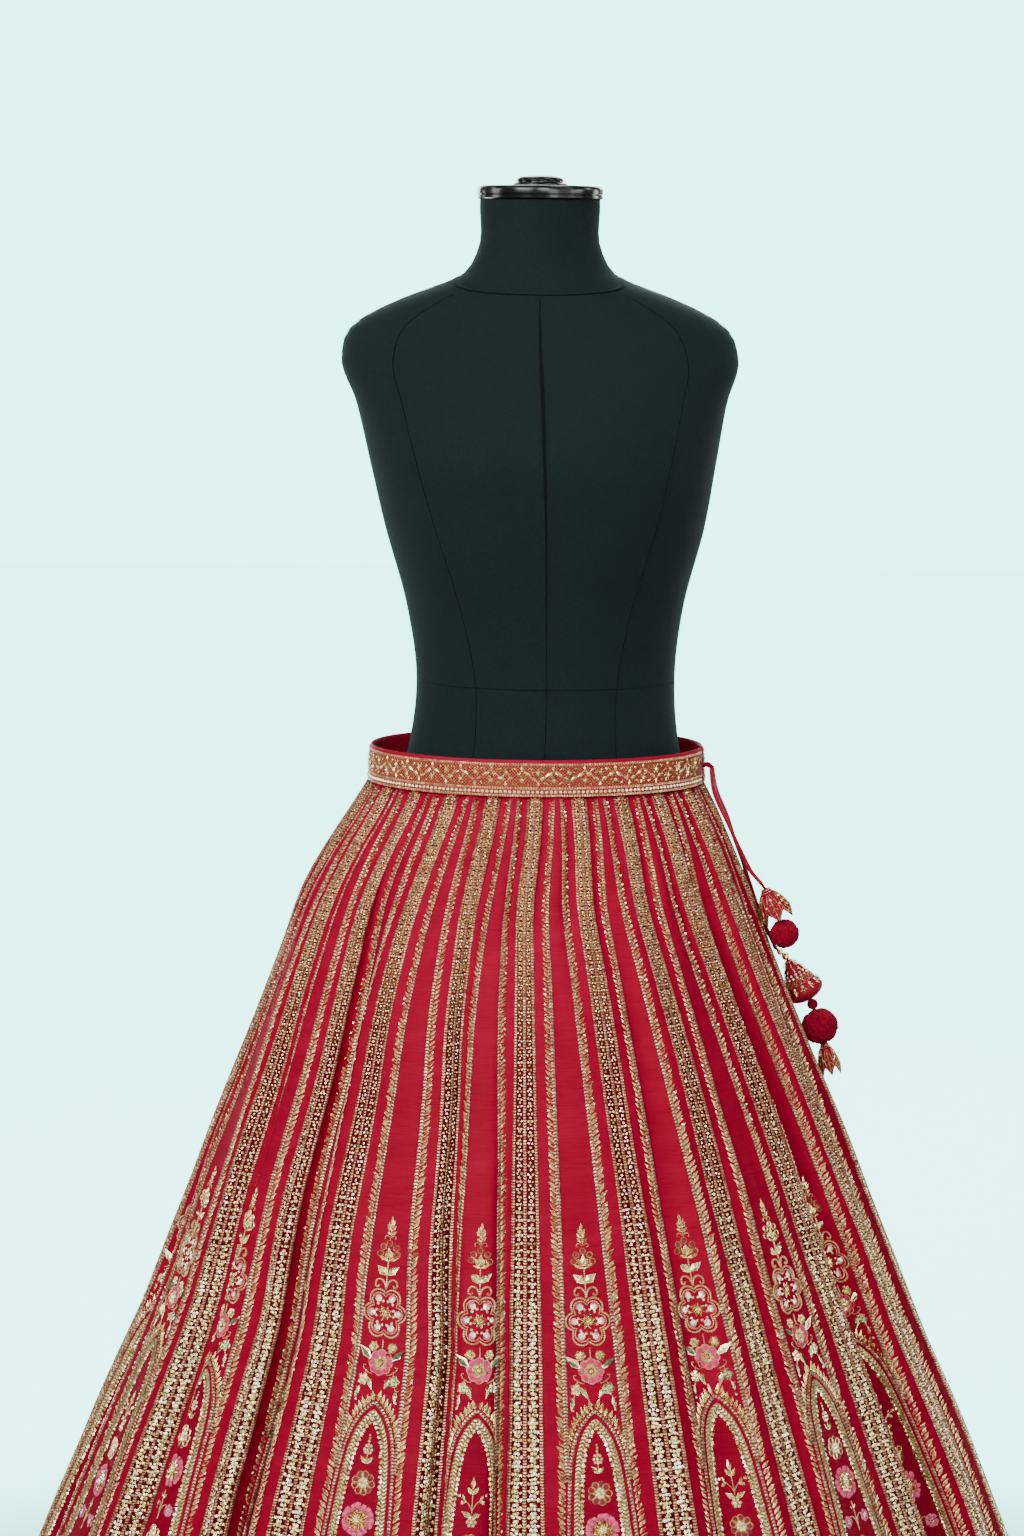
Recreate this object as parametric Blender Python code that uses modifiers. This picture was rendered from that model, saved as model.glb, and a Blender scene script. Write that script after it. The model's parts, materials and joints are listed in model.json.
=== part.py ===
"""Lehenga skirt of eleven flared gores with a tied waistband, worn on a limbless dress form on a stand.

Metres, +Z up, the wearer faces -Y. The origin is the centre of the stand's foot, on the floor.
"""

from collections import namedtuple
from math import cos, pi, radians, sin

import bmesh
import bpy
import numpy as np
from mathutils import Matrix, Vector

# Driving dimensions
BAND_TOP = 1.020
BAND_HEIGHT = 0.035
BAND_THICKNESS = 0.003
BAND_LIFT = 0.0003
PLACKET_GAP = 0.008
HEM_HEIGHT = 0.012
CLOTH_THICKNESS = 0.002
SEAM_GAP = 0.0003
GORES = 11
ARCHES_PER_GORE = 2
CUT_WAIST = 0.93
CUT_FLARE = 3.15
TIE_RADIUS = 0.004
NECK_TOP = 1.535
TORSO_BOTTOM = 0.775
POLE_RADIUS = 0.016
BASE_RADIUS = 0.180

# How finely the cloth is built
STEPS_PER_ARCH = 8
CLOTH_ROWS = 12
ROW_CROWDING = 1.25

ARCHES = GORES * ARCHES_PER_GORE
FIRST_SEAM = -1
BAND_BOTTOM = BAND_TOP - BAND_HEIGHT
FRONT_TURN = radians(-0.6)

# Outline of the filled skirt: half-width on the wearer's right and left, and half-depth.
Section = namedtuple("Section", "height right left depth")
OUTLINE = (
    Section(0.985, 0.1610, 0.1610, 0.122),
    Section(0.960, 0.1760, 0.1740, 0.134),
    Section(0.935, 0.1930, 0.1860, 0.149),
    Section(0.890, 0.2200, 0.2040, 0.172),
    Section(0.820, 0.2460, 0.2300, 0.210),
    Section(0.740, 0.2760, 0.2620, 0.252),
    Section(0.640, 0.3150, 0.3040, 0.303),
    Section(0.500, 0.3680, 0.3600, 0.364),
    Section(0.340, 0.4370, 0.4300, 0.434),
    Section(0.180, 0.5030, 0.4920, 0.492),
    Section(0.012, 0.5700, 0.5600, 0.552),
)

# Folds, placed in arches from the centre front towards the wearer's left. Depth is a share
# of the mean fold, width is half the fold in arches, and start is how far down it begins.
Fold = namedtuple("Fold", "place depth width start")
FOLDS = (
    Fold(-5.35, 1.35, 0.46, 0.00),
    Fold(-3.80, 0.95, 0.30, 0.12),
    Fold(-3.17, 0.40, 0.22, 0.12),
    Fold(-2.61, 1.75, 0.42, 0.00),
    Fold(-0.875, 1.00, 0.24, 0.05),
    Fold(-0.25, 0.75, 0.19, 0.12),
    Fold(1.42, 0.65, 0.36, 0.05),
    Fold(2.05, 0.35, 0.30, 0.20),
    Fold(2.75, 0.75, 1.20, 0.00),
    Fold(3.48, 1.35, 0.40, 0.00),
    Fold(4.55, 1.00, 0.42, 0.08),
    Fold(5.60, 1.25, 0.46, 0.00),
    Fold(6.55, 1.10, 0.40, 0.16),
    Fold(7.50, 1.60, 0.48, 0.00),
    Fold(8.55, 1.15, 0.42, 0.12),
    Fold(9.50, 1.45, 0.46, 0.04),
    Fold(10.45, 1.60, 0.46, 0.00),
    Fold(11.50, 1.15, 0.42, 0.14),
    Fold(12.50, 1.59, 0.48, 0.00),
    Fold(13.52, 1.01, 0.40, 0.18),
    Fold(14.50, 1.36, 0.46, 0.02),
    Fold(15.52, 0.98, 0.42, 0.10),
)
EVEN_DOWN_TO = 0.30
FOLD_RUN_IN = 0.25
FOLD_AT_START = 0.25
GATHERS_PER_ARCH = 2
GATHER_SHARE = 0.5
GATHERS_END = 0.22

# The dress form, from its closed bottom up to its neck.
Ring = namedtuple("Ring", "height centre half_width half_depth squareness")
FORM = (
    Ring(TORSO_BOTTOM, 0.004, 0.138, 0.100, 2.2),
    Ring(0.783, 0.004, 0.150, 0.110, 2.2),
    Ring(0.810, 0.004, 0.160, 0.118, 2.2),
    Ring(0.860, 0.004, 0.165, 0.124, 2.2),
    Ring(0.920, 0.005, 0.158, 0.119, 2.2),
    Ring(0.975, 0.006, 0.141, 0.106, 2.1),
    Ring(1.020, 0.007, 0.129, 0.098, 2.0),
    Ring(1.082, 0.008, 0.123, 0.093, 2.0),
    Ring(1.150, 0.007, 0.131, 0.099, 2.1),
    Ring(1.230, 0.006, 0.152, 0.116, 2.2),
    Ring(1.290, 0.004, 0.164, 0.123, 2.3),
    Ring(1.345, 0.002, 0.175, 0.110, 2.4),
    Ring(1.390, 0.000, 0.187, 0.090, 2.3),
    Ring(1.420, -0.001, 0.172, 0.074, 2.2),
    Ring(1.445, -0.001, 0.122, 0.066, 2.1),
    Ring(1.463, -0.001, 0.075, 0.060, 2.0),
    Ring(1.482, -0.001, 0.0610, 0.0570, 2.0),
    Ring(NECK_TOP, -0.001, 0.0565, 0.0555, 2.0),
)
FORM_SEGMENTS = 32

# Ties and tassels at the placket, on the wearer's left side.
SHORT_TIE = ((0.1668, -0.021, 0.9995), (0.1695, -0.021, 0.980), (0.1820, -0.021, 0.950),
             (0.1955, -0.021, 0.920), (0.2085, -0.0215, 0.897), (0.2163, -0.022, 0.8888))
LONG_TIE = ((0.1682, -0.011, 1.0000), (0.1715, -0.009, 0.980), (0.1840, -0.004, 0.950), (0.1945, 0.000, 0.920),
            (0.2045, 0.003, 0.890), (0.2180, 0.0045, 0.852), (0.2327, 0.0058, 0.8210))
TIE_STEP = 0.012
Tassel = namedtuple("Tassel", "top lean height neck mouth")
UPPER_PETALS = Tassel((0.2197, -0.0220, 0.8838), 26, 0.033, 0.0035, 0.0155)
LOWER_PETALS = Tassel((0.2818, 0.0090, 0.7265), 15, 0.031, 0.0035, 0.0105)
CONE = Tassel((0.2447, 0.0060, 0.8093), 30, 0.034, 0.0030, 0.0190)
PETALS = 6
PETAL_WALL = 0.0012
Ball = namedtuple("Ball", "name centre radius")
UPPER_POMPOM = Ball("pompom_upper", (0.2392, -0.0225, 0.8405), 0.0140)
LOWER_POMPOM = Ball("pompom_lower", (0.2773, 0.0075, 0.7442), 0.0175)
SMALL_BEAD = Ball("bead_small", (0.2372, 0.0060, 0.8173), 0.0030)
LARGE_BEAD = Ball("bead_large", (0.2428, 0.0060, 0.8130), 0.0038)
THREAD_BALL = Ball("thread_ball", (0.2696, 0.0060, 0.7662), 0.0055)
LOCK_SHARE = 0.16

COLLECTION = "lehenga_skirt"


def clear_scene():
    for item in list(bpy.data.objects):
        bpy.data.objects.remove(item)


def material(name, colour, roughness, metallic=0.0):
    made = bpy.data.materials.new(name)
    made.use_nodes = True
    shader = made.node_tree.nodes["Principled BSDF"]
    shader.inputs["Base Color"].default_value = (*colour, 1.0)
    shader.inputs["Roughness"].default_value = roughness
    shader.inputs["Metallic"].default_value = metallic
    return made


def silk():
    return material("crimson_silk", (0.42, 0.012, 0.035), 0.55)


def embroidered_band():
    return material("gold_embroidery", (0.55, 0.38, 0.18), 0.45, 0.6)


def thread():
    return material("crimson_thread", (0.30, 0.008, 0.025), 0.85)


def gilt():
    return material("gilt_bead", (0.80, 0.55, 0.22), 0.25, 1.0)


def jersey():
    return material("dark_jersey", (0.012, 0.025, 0.032), 0.80)


def lacquer():
    return material("black_lacquer", (0.01, 0.008, 0.007), 0.15)


def stand_metal():
    return material("black_metal", (0.02, 0.02, 0.02), 0.40, 0.8)


def collection():
    made = bpy.data.collections.get(COLLECTION)
    if made is None:
        made = bpy.data.collections.new(COLLECTION)
        bpy.context.scene.collection.children.link(made)
    return made


def add_mesh(name, vertices, faces, look, smooth=True):
    mesh = bpy.data.meshes.new(name)
    mesh.from_pydata([tuple(map(float, v)) for v in vertices], [], faces)
    mesh.validate()
    if smooth:
        mesh.shade_smooth()
    mesh.materials.append(look)
    made = bpy.data.objects.new(name, mesh)
    collection().objects.link(made)
    return made


def add_bmesh(name, shape, look, smooth=True):
    mesh = bpy.data.meshes.new(name)
    shape.to_mesh(mesh)
    shape.free()
    if smooth:
        mesh.shade_smooth()
    mesh.materials.append(look)
    made = bpy.data.objects.new(name, mesh)
    collection().objects.link(made)
    return made


def through(places, values, at):
    """A smooth curve through (places, values), read at the places given; places rise."""
    slopes = np.gradient(values, places)
    left = np.clip(np.searchsorted(places, at) - 1, 0, len(places) - 2)
    run = places[left + 1] - places[left]
    t = (at - places[left]) / run
    start = values[left] * (1 + 2 * t) * (1 - t) ** 2 + run * slopes[left] * t * (1 - t) ** 2
    end = values[left + 1] * t * t * (3 - 2 * t) + run * slopes[left + 1] * t * t * (t - 1)
    return start + end


def ease(t):
    t = np.clip(t, 0.0, 1.0)
    return t * t * (3 - 2 * t)


def outline_at(height):
    """Half-width on each side and half-depth of the filled skirt."""
    drops = np.array([BAND_BOTTOM - row.height for row in OUTLINE])
    return [
        through(drops, np.array([getattr(row, side) for row in OUTLINE]), BAND_BOTTOM - height)
        for side in ("right", "left", "depth")
    ]


def slant_ruler():
    """Heights, and the length of cloth from the waistband down to each."""
    heights = np.linspace(BAND_BOTTOM, HEM_HEIGHT, 400)
    right, left, depth = outline_at(heights)
    reach = (right + left + 2 * depth) / 4
    lengths = np.cumsum(np.hypot(np.diff(heights), np.diff(reach)))
    return heights, np.concatenate([[0.0], lengths])


def cut_width(slant):
    """Width of one arch of flat cloth, this far down from the waistband."""
    return (CUT_WAIST + CUT_FLARE * slant) / ARCHES


def fold_pattern(place, slant):
    """How far in the cloth stands at each place, in units of the mean fold."""
    inward = np.zeros(np.broadcast(place, slant).shape)
    for fold in FOLDS:
        away = (place - fold.place + ARCHES / 2) % ARCHES - ARCHES / 2
        valley = 0.5 + 0.5 * np.cos(pi * np.clip(away / fold.width, -1, 1))
        share = 1 + (fold.depth - 1) * ease(slant / EVEN_DOWN_TO)
        begun = FOLD_AT_START + (1 - FOLD_AT_START) * ease((slant - fold.start) / FOLD_RUN_IN)
        inward = inward + valley * share * begun
    gathers = 0.5 - 0.5 * np.cos(2 * pi * GATHERS_PER_ARCH * place)
    return inward + GATHER_SHARE * gathers * (1 - ease(slant / GATHERS_END))


def skirt_rings(slants, steps_per_arch):
    """Points of the cloth's outer face, [place, row, xyz], and how far round each is.

    Each ring turns by as much as its own length of cloth allows, and its folds are
    just deep enough for that cloth to close the ring.
    """
    heights_down, lengths = slant_ruler()
    heights = np.interp(slants, lengths, heights_down)
    right, left, depth = outline_at(heights)
    wide = (right + left) / 2
    cloth = cut_width(slants)
    places = np.arange(ARCHES * steps_per_arch + 1) / steps_per_arch
    pattern = fold_pattern(places[:, None], slants[None, :])
    step = 1 / steps_per_arch

    def turned(fold_depth):
        reach = 1 - fold_depth * pattern / ((wide + depth) / 2)
        angle = np.full(len(slants), FRONT_TURN)
        angles = [angle]
        for k in range(len(places) - 1):
            change = (reach[k + 1] - reach[k]) / step
            middle = (reach[k + 1] + reach[k]) / 2

            def turn_rate(at):
                s, c = np.sin(at), np.cos(at)
                a = (wide**2 * c * c + depth**2 * s * s) * middle**2
                b = 2 * middle * change * s * c * (wide**2 - depth**2)
                rest = change**2 * (wide**2 * s * s + depth**2 * c * c) - cloth**2
                root = np.sqrt(np.maximum(b * b - 4 * a * rest, 0))
                return np.maximum((root - b) / (2 * a), 0)

            halfway = angle + step * turn_rate(angle) / 2
            angle = angle + step * turn_rate(halfway)
            angles.append(angle)
        return np.array(angles), reach

    low = np.zeros(len(slants))
    high = np.full(len(slants), 0.14)
    for _ in range(32):
        middle_depth = (low + high) / 2
        angles, _reach = turned(middle_depth)
        too_far = angles[-1] - angles[0] > 2 * pi
        low = np.where(too_far, middle_depth, low)
        high = np.where(too_far, high, middle_depth)
    angles, reach = turned((low + high) / 2)
    across = (left - right) / 2 + wide * reach * np.sin(angles)
    back = -depth * reach * np.cos(angles)
    points = np.stack([across, back, np.broadcast_to(heights, across.shape)], axis=-1)
    points[-1] = points[0]
    return points, angles


def outward(points):
    """Unit normals and unit tangents along each ring, of a closed set of rings."""
    loop = points[:-1]
    along = np.roll(loop, -1, axis=0) - np.roll(loop, 1, axis=0)
    down = np.gradient(loop, axis=1)
    normal = np.cross(down, along)
    normal /= np.linalg.norm(normal, axis=-1, keepdims=True)
    along /= np.linalg.norm(along, axis=-1, keepdims=True)
    return normal, along


def wall(name, outer, inner, look):
    """A closed wall between two grids of points, [column, row, xyz], of the same size."""
    columns, rows = outer.shape[:2]
    count = columns * rows

    def at(column, row, inside=False):
        return column * rows + row + (count if inside else 0)

    faces = []
    for c in range(columns - 1):
        for r in range(rows - 1):
            faces.append((at(c, r), at(c, r + 1), at(c + 1, r + 1), at(c + 1, r)))
            faces.append((at(c, r, True), at(c + 1, r, True), at(c + 1, r + 1, True), at(c, r + 1, True)))
    last_column, last_row = columns - 1, rows - 1
    for c in range(columns - 1):
        faces.append((at(c, 0), at(c + 1, 0), at(c + 1, 0, True), at(c, 0, True)))
        faces.append((at(c, last_row, True), at(c + 1, last_row, True), at(c + 1, last_row), at(c, last_row)))
    for r in range(rows - 1):
        faces.append((at(0, r, True), at(0, r + 1, True), at(0, r + 1), at(0, r)))
        faces.append(
            (at(last_column, r), at(last_column, r + 1), at(last_column, r + 1, True), at(last_column, r, True))
        )
    vertices = np.concatenate([outer.reshape(-1, 3), inner.reshape(-1, 3)])
    return add_mesh(name, vertices, faces, look)


def make_gores():
    """Eleven flared gores, each two arches wide, seamed under every second stripe."""
    whole = slant_ruler()[1][-1]
    slants = whole * (np.arange(CLOTH_ROWS + 1) / CLOTH_ROWS) ** ROW_CROWDING
    points, angles = skirt_rings(slants, STEPS_PER_ARCH)
    normal, along = outward(points)
    around = ARCHES * STEPS_PER_ARCH
    span = ARCHES_PER_GORE * STEPS_PER_ARCH
    look = silk()
    for gore in range(GORES):
        first = FIRST_SEAM * STEPS_PER_ARCH + gore * span
        columns = np.arange(first, first + span + 1) % around
        outer = points[columns].copy()
        outer[0] += along[columns[0]] * SEAM_GAP / 2
        outer[-1] -= along[columns[-1]] * SEAM_GAP / 2
        inner = outer - normal[columns] * CLOTH_THICKNESS
        inner[:, :, 2] = outer[:, :, 2]
        wall(f"gore_{gore + 1:02d}", outer, inner, look)
    seam = (FIRST_SEAM + 3 * ARCHES_PER_GORE) * STEPS_PER_ARCH
    return angles[seam, 0]


def make_waistband(placket_angle):
    """A stiffened band round the waist, open at the placket on the wearer's left."""
    top = OUTLINE[0]
    half_gap = PLACKET_GAP / 2 / top.left
    turns = np.linspace(placket_angle + half_gap, placket_angle + 2 * pi - half_gap, 49)

    def ring(height, inset):
        return np.stack(
            [
                (top.left - inset) * np.sin(turns),
                -(top.depth - inset) * np.cos(turns),
                np.full(turns.shape, height),
            ],
            axis=-1,
        )

    taper = 0.0015
    low = BAND_BOTTOM + BAND_LIFT
    outer = np.stack([ring(BAND_TOP, taper), ring(low, 0.0)], axis=1)
    inner = np.stack([ring(BAND_TOP, taper + BAND_THICKNESS), ring(low, BAND_THICKNESS)], axis=1)
    wall("waistband", outer, inner, embroidered_band())


def make_tie(name, route):
    """A folded silk tie, hanging from the placket."""
    knots = np.array(route)
    spans = np.linalg.norm(np.diff(knots, axis=0), axis=1)
    lengths = np.concatenate([[0.0], np.cumsum(spans)])
    count = int(round(lengths[-1] / TIE_STEP)) + 1
    reads = np.linspace(0, lengths[-1], count)
    path = np.stack([through(lengths, knots[:, axis], reads) for axis in range(3)], axis=-1)
    curve = bpy.data.curves.new(name, "CURVE")
    curve.dimensions = "3D"
    curve.bevel_depth = TIE_RADIUS
    curve.bevel_resolution = 2
    curve.use_fill_caps = True
    spline = curve.splines.new("POLY")
    spline.points.add(count - 1)
    for point, place in zip(spline.points, path):
        point.co = (*map(float, place), 1.0)
    curve.materials.append(thread())
    made = bpy.data.objects.new(name, curve)
    collection().objects.link(made)


def leaning(tassel):
    """The frame of a tassel that hangs from its top and leans out along the skirt."""
    return Matrix.Translation(Vector(tassel.top)) @ Matrix.Rotation(radians(-tassel.lean), 4, "Y")


def make_petal_bell(name, tassel):
    """A stiff embroidered bell whose mouth is cut into pointed petals."""
    segments = PETALS * 4
    rises = (0.0, 0.35, 0.70, 1.0)
    shoulders = (0.0, 0.62, 0.90, 1.0)
    frame = leaning(tassel)

    def shell(inset):
        grid = []
        for k in range(segments):
            turn = 2 * pi * k / segments
            point_down = abs((k % 4) - 2) / 2
            column = []
            for rise, shoulder in zip(rises, shoulders):
                radius = tassel.neck + (tassel.mouth - tassel.neck) * shoulder - inset
                depth = tassel.height * rise * (1 - 0.30 * point_down * rise * rise)
                column.append(frame @ Vector((radius * cos(turn), radius * sin(turn), -depth)))
            grid.append(column)
        return np.array([[tuple(p) for p in column] for column in grid])

    outer, inner = shell(0.0), shell(PETAL_WALL)
    rows = len(rises)
    count = segments * rows
    faces = []
    for k in range(segments):
        a, b = k * rows, ((k + 1) % segments) * rows
        for r in range(rows - 1):
            faces.append((a + r, a + r + 1, b + r + 1, b + r))
            faces.append((count + a + r, count + b + r, count + b + r + 1, count + a + r + 1))
        faces.append((a, b, count + b, count + a))
        last = rows - 1
        faces.append((count + a + last, count + b + last, b + last, a + last))
    add_mesh(name, np.concatenate([outer.reshape(-1, 3), inner.reshape(-1, 3)]), faces, thread())


def make_cone_bell(tassel):
    """A stuffed cone of embroidered silk, closed by a rounded silk base."""
    profile = [(0.0, 0.0), (tassel.neck, 0.0), (0.0085, 0.010), (tassel.mouth, tassel.height)]
    belly = 0.010
    for turn in (25, 50, 75, 90):
        profile.append((tassel.mouth * cos(radians(turn)), tassel.height + belly * sin(radians(turn))))
    shape = bmesh.new()
    corners = [shape.verts.new((radius if radius > 1e-6 else 0.0, 0.0, -drop)) for radius, drop in profile]
    edges = [shape.edges.new(pair) for pair in zip(corners, corners[1:])]
    bmesh.ops.spin(
        shape, geom=corners + edges, axis=(0, 0, 1), cent=(0, 0, 0), steps=24, angle=2 * pi, use_merge=True
    )
    bmesh.ops.remove_doubles(shape, verts=shape.verts, dist=1e-5)
    bmesh.ops.recalc_face_normals(shape, faces=shape.faces)
    bmesh.ops.transform(shape, matrix=leaning(tassel), verts=shape.verts)
    add_bmesh("cone_bell", shape, silk())


def make_pompom(ball):
    """A ball of cut thread: three-sided locks on a solid heart, joined at their roots."""
    shape = bmesh.new()
    heart = ball.radius * (1 - LOCK_SHARE)
    bmesh.ops.create_icosphere(
        shape, subdivisions=2, radius=heart, matrix=Matrix.Translation(Vector(ball.centre))
    )
    bmesh.ops.poke(shape, faces=shape.faces, offset=ball.radius * LOCK_SHARE)
    add_bmesh(ball.name, shape, thread())


def make_ball(ball, look):
    shape = bmesh.new()
    bmesh.ops.create_uvsphere(
        shape, u_segments=16, v_segments=10, radius=ball.radius, matrix=Matrix.Translation(Vector(ball.centre))
    )
    add_bmesh(ball.name, shape, look)


def make_tassels():
    make_tie("tie_short", SHORT_TIE)
    make_tie("tie_long", LONG_TIE)
    make_petal_bell("petal_bell_upper", UPPER_PETALS)
    make_pompom(UPPER_POMPOM)
    make_ball(SMALL_BEAD, gilt())
    make_ball(LARGE_BEAD, gilt())
    make_cone_bell(CONE)
    make_ball(THREAD_BALL, thread())
    make_pompom(LOWER_POMPOM)
    make_petal_bell("petal_bell_lower", LOWER_PETALS)


def make_form():
    """The limbless torso, lofted through its sections and closed at both ends."""
    rings = []
    for ring in FORM:
        power = 2 / ring.squareness
        for k in range(FORM_SEGMENTS):
            s, c = sin(2 * pi * k / FORM_SEGMENTS), cos(2 * pi * k / FORM_SEGMENTS)
            across = ring.half_width * abs(s) ** power * (1 if s >= 0 else -1)
            back = ring.half_depth * abs(c) ** power * (1 if c >= 0 else -1)
            rings.append((ring.centre + across, -back, ring.height))
    faces = []
    for level in range(len(FORM) - 1):
        for k in range(FORM_SEGMENTS):
            a = level * FORM_SEGMENTS + k
            b = level * FORM_SEGMENTS + (k + 1) % FORM_SEGMENTS
            faces.append((a, b, b + FORM_SEGMENTS, a + FORM_SEGMENTS))
    top = (len(FORM) - 1) * FORM_SEGMENTS
    faces.append(tuple(range(FORM_SEGMENTS))[::-1])
    faces.append(tuple(top + k for k in range(FORM_SEGMENTS)))
    add_mesh("torso", rings, faces, jersey())


def make_turned(name, profile, centre, look):
    """A solid turned from (radius, height) corners, listed from the top down its outer side."""
    shape = bmesh.new()
    corners = [shape.verts.new((radius, 0.0, height)) for radius, height in profile]
    for pair in zip(corners, corners[1:]):
        shape.edges.new(pair)
    made = add_bmesh(name, shape, look)
    made.location = centre
    screw = made.modifiers.new("turn", "SCREW")
    screw.steps = screw.render_steps = 32
    screw.use_merge_vertices = True
    screw.merge_threshold = 1e-5


def make_form_fittings():
    neck = FORM[-1].centre
    cap_radius, cap_low, cap_high, cap_round = 0.0590, NECK_TOP + 0.0003, 1.5475, 0.004
    make_turned(
        "neck_cap",
        [(0.0, cap_high), (cap_radius - cap_round, cap_high), (cap_radius, cap_high - cap_round),
         (cap_radius, cap_low), (0.0, cap_low)],
        (neck, 0.0, 0.0),
        lacquer(),
    )
    knob_low = cap_high + 0.0003
    make_turned(
        "cap_knob",
        [(0.0, knob_low + 0.0095), (0.0130, knob_low + 0.0092), (0.0195, knob_low + 0.0078),
         (0.0222, knob_low + 0.0054), (0.0216, knob_low + 0.0038), (0.0262, knob_low + 0.0010),
         (0.0262, knob_low), (0.0, knob_low)],
        (neck, 0.0, 0.0),
        lacquer(),
    )
    boss_radius, boss_top, rim_top, rim_round = 0.030, 0.030, 0.010, 0.004
    make_turned(
        "stand_base",
        [(0.0, boss_top), (boss_radius - rim_round, boss_top), (boss_radius, boss_top - rim_round),
         (boss_radius, 0.016), (BASE_RADIUS - rim_round, rim_top), (BASE_RADIUS, rim_top - rim_round),
         (BASE_RADIUS, 0.0), (0.0, 0.0)],
        (0.0, 0.0, 0.0),
        stand_metal(),
    )
    pole_low, pole_high = boss_top + 0.0003, TORSO_BOTTOM - 0.0003
    make_turned(
        "pole",
        [(0.0, pole_high), (POLE_RADIUS, pole_high), (POLE_RADIUS, pole_low), (0.0, pole_low)],
        (0.0, 0.0, 0.0),
        stand_metal(),
    )


clear_scene()
make_waistband(make_gores())
make_tassels()
make_form()
make_form_fittings()
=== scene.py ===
"""Lehenga skirt of eleven embroidered silk gores with a tied waistband, on a limbless dress form.

Metres, +Z up, the wearer faces -Y. Cloth is addressed by its place, in arches from the centre
front towards the wearer's left, and its slant, in metres of cloth down from the waistband.
"""

import json
from math import cos, pi, radians, sin

import bmesh
import bpy
import numpy as np
from mathutils import Matrix, Vector

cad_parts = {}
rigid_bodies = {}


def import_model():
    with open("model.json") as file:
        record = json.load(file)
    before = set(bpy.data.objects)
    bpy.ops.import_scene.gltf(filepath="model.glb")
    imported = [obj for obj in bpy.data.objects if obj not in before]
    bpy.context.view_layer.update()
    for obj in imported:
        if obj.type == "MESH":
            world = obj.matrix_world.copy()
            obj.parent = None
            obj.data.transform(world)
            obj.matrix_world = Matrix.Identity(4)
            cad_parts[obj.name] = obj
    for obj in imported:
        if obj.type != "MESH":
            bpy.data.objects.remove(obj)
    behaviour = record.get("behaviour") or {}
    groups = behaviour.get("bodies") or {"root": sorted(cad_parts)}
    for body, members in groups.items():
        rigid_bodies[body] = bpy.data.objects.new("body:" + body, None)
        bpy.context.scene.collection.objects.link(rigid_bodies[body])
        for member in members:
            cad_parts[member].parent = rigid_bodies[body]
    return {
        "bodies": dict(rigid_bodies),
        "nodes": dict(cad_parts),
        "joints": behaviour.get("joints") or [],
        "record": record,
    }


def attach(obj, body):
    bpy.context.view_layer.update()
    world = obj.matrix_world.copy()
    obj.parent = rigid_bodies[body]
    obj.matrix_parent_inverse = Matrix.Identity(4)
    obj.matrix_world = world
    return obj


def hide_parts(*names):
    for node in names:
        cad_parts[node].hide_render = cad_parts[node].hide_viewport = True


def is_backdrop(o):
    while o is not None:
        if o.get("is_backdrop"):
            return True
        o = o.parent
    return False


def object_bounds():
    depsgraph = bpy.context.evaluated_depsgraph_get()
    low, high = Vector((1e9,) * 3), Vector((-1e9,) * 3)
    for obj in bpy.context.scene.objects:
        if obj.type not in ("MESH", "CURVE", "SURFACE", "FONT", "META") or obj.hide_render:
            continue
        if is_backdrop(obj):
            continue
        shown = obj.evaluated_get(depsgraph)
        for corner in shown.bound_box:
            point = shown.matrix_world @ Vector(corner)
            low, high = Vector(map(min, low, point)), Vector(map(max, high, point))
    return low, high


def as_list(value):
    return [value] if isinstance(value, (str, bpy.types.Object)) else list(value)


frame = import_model()
cad_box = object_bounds()


# --- Camera -----------------------------------------------------------------------------------
# A standing viewer's camera three and a half metres in front of the form, looking slightly down.
CAMERA_AT = (-0.0234, -3.4947, 1.4862)
CAMERA_PITCH = 0.1394
CAMERA_ROLL = 0.0075
CAMERA_LENS = 86.23

camera_data = bpy.data.cameras.new("camera")
camera_data.lens = CAMERA_LENS
camera_data.sensor_width = 36.0
camera_data.clip_end = 60.0
camera = bpy.data.objects.new("camera", camera_data)
bpy.context.scene.collection.objects.link(camera)
camera.matrix_world = (
    Matrix.Translation(CAMERA_AT)
    @ Matrix.Rotation(pi / 2 - CAMERA_PITCH, 4, "X")
    @ Matrix.Rotation(CAMERA_ROLL, 4, "Z")
)
bpy.context.scene.camera = camera


# --- Ties -------------------------------------------------------------------------------------
# Two limp ties of folded crimson silk, sewn into the placket on the wearer's left and hanging
# free down the skirt. Each is a flattened tube, pressed and a little crumpled.
SHORT_TIE = ((0.1668, -0.021, 0.9995), (0.1695, -0.021, 0.980), (0.1820, -0.021, 0.950),
             (0.1955, -0.021, 0.920), (0.2085, -0.0215, 0.897), (0.2163, -0.022, 0.8888))
LONG_TIE = ((0.1682, -0.011, 1.0000), (0.1715, -0.009, 0.980), (0.1840, -0.004, 0.950), (0.1945, 0.000, 0.920),
            (0.2045, 0.003, 0.890), (0.2180, 0.0045, 0.852), (0.2327, 0.0058, 0.8210))
TIE_WIDTH = 0.0095
TIE_DEPTH = 0.0030
TIE_STEP = 0.003
TIE_SIDES = 12
TIE_RED = (0.30, 0.003, 0.020)
TIE_BRIGHT = (0.46, 0.006, 0.034)


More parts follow.
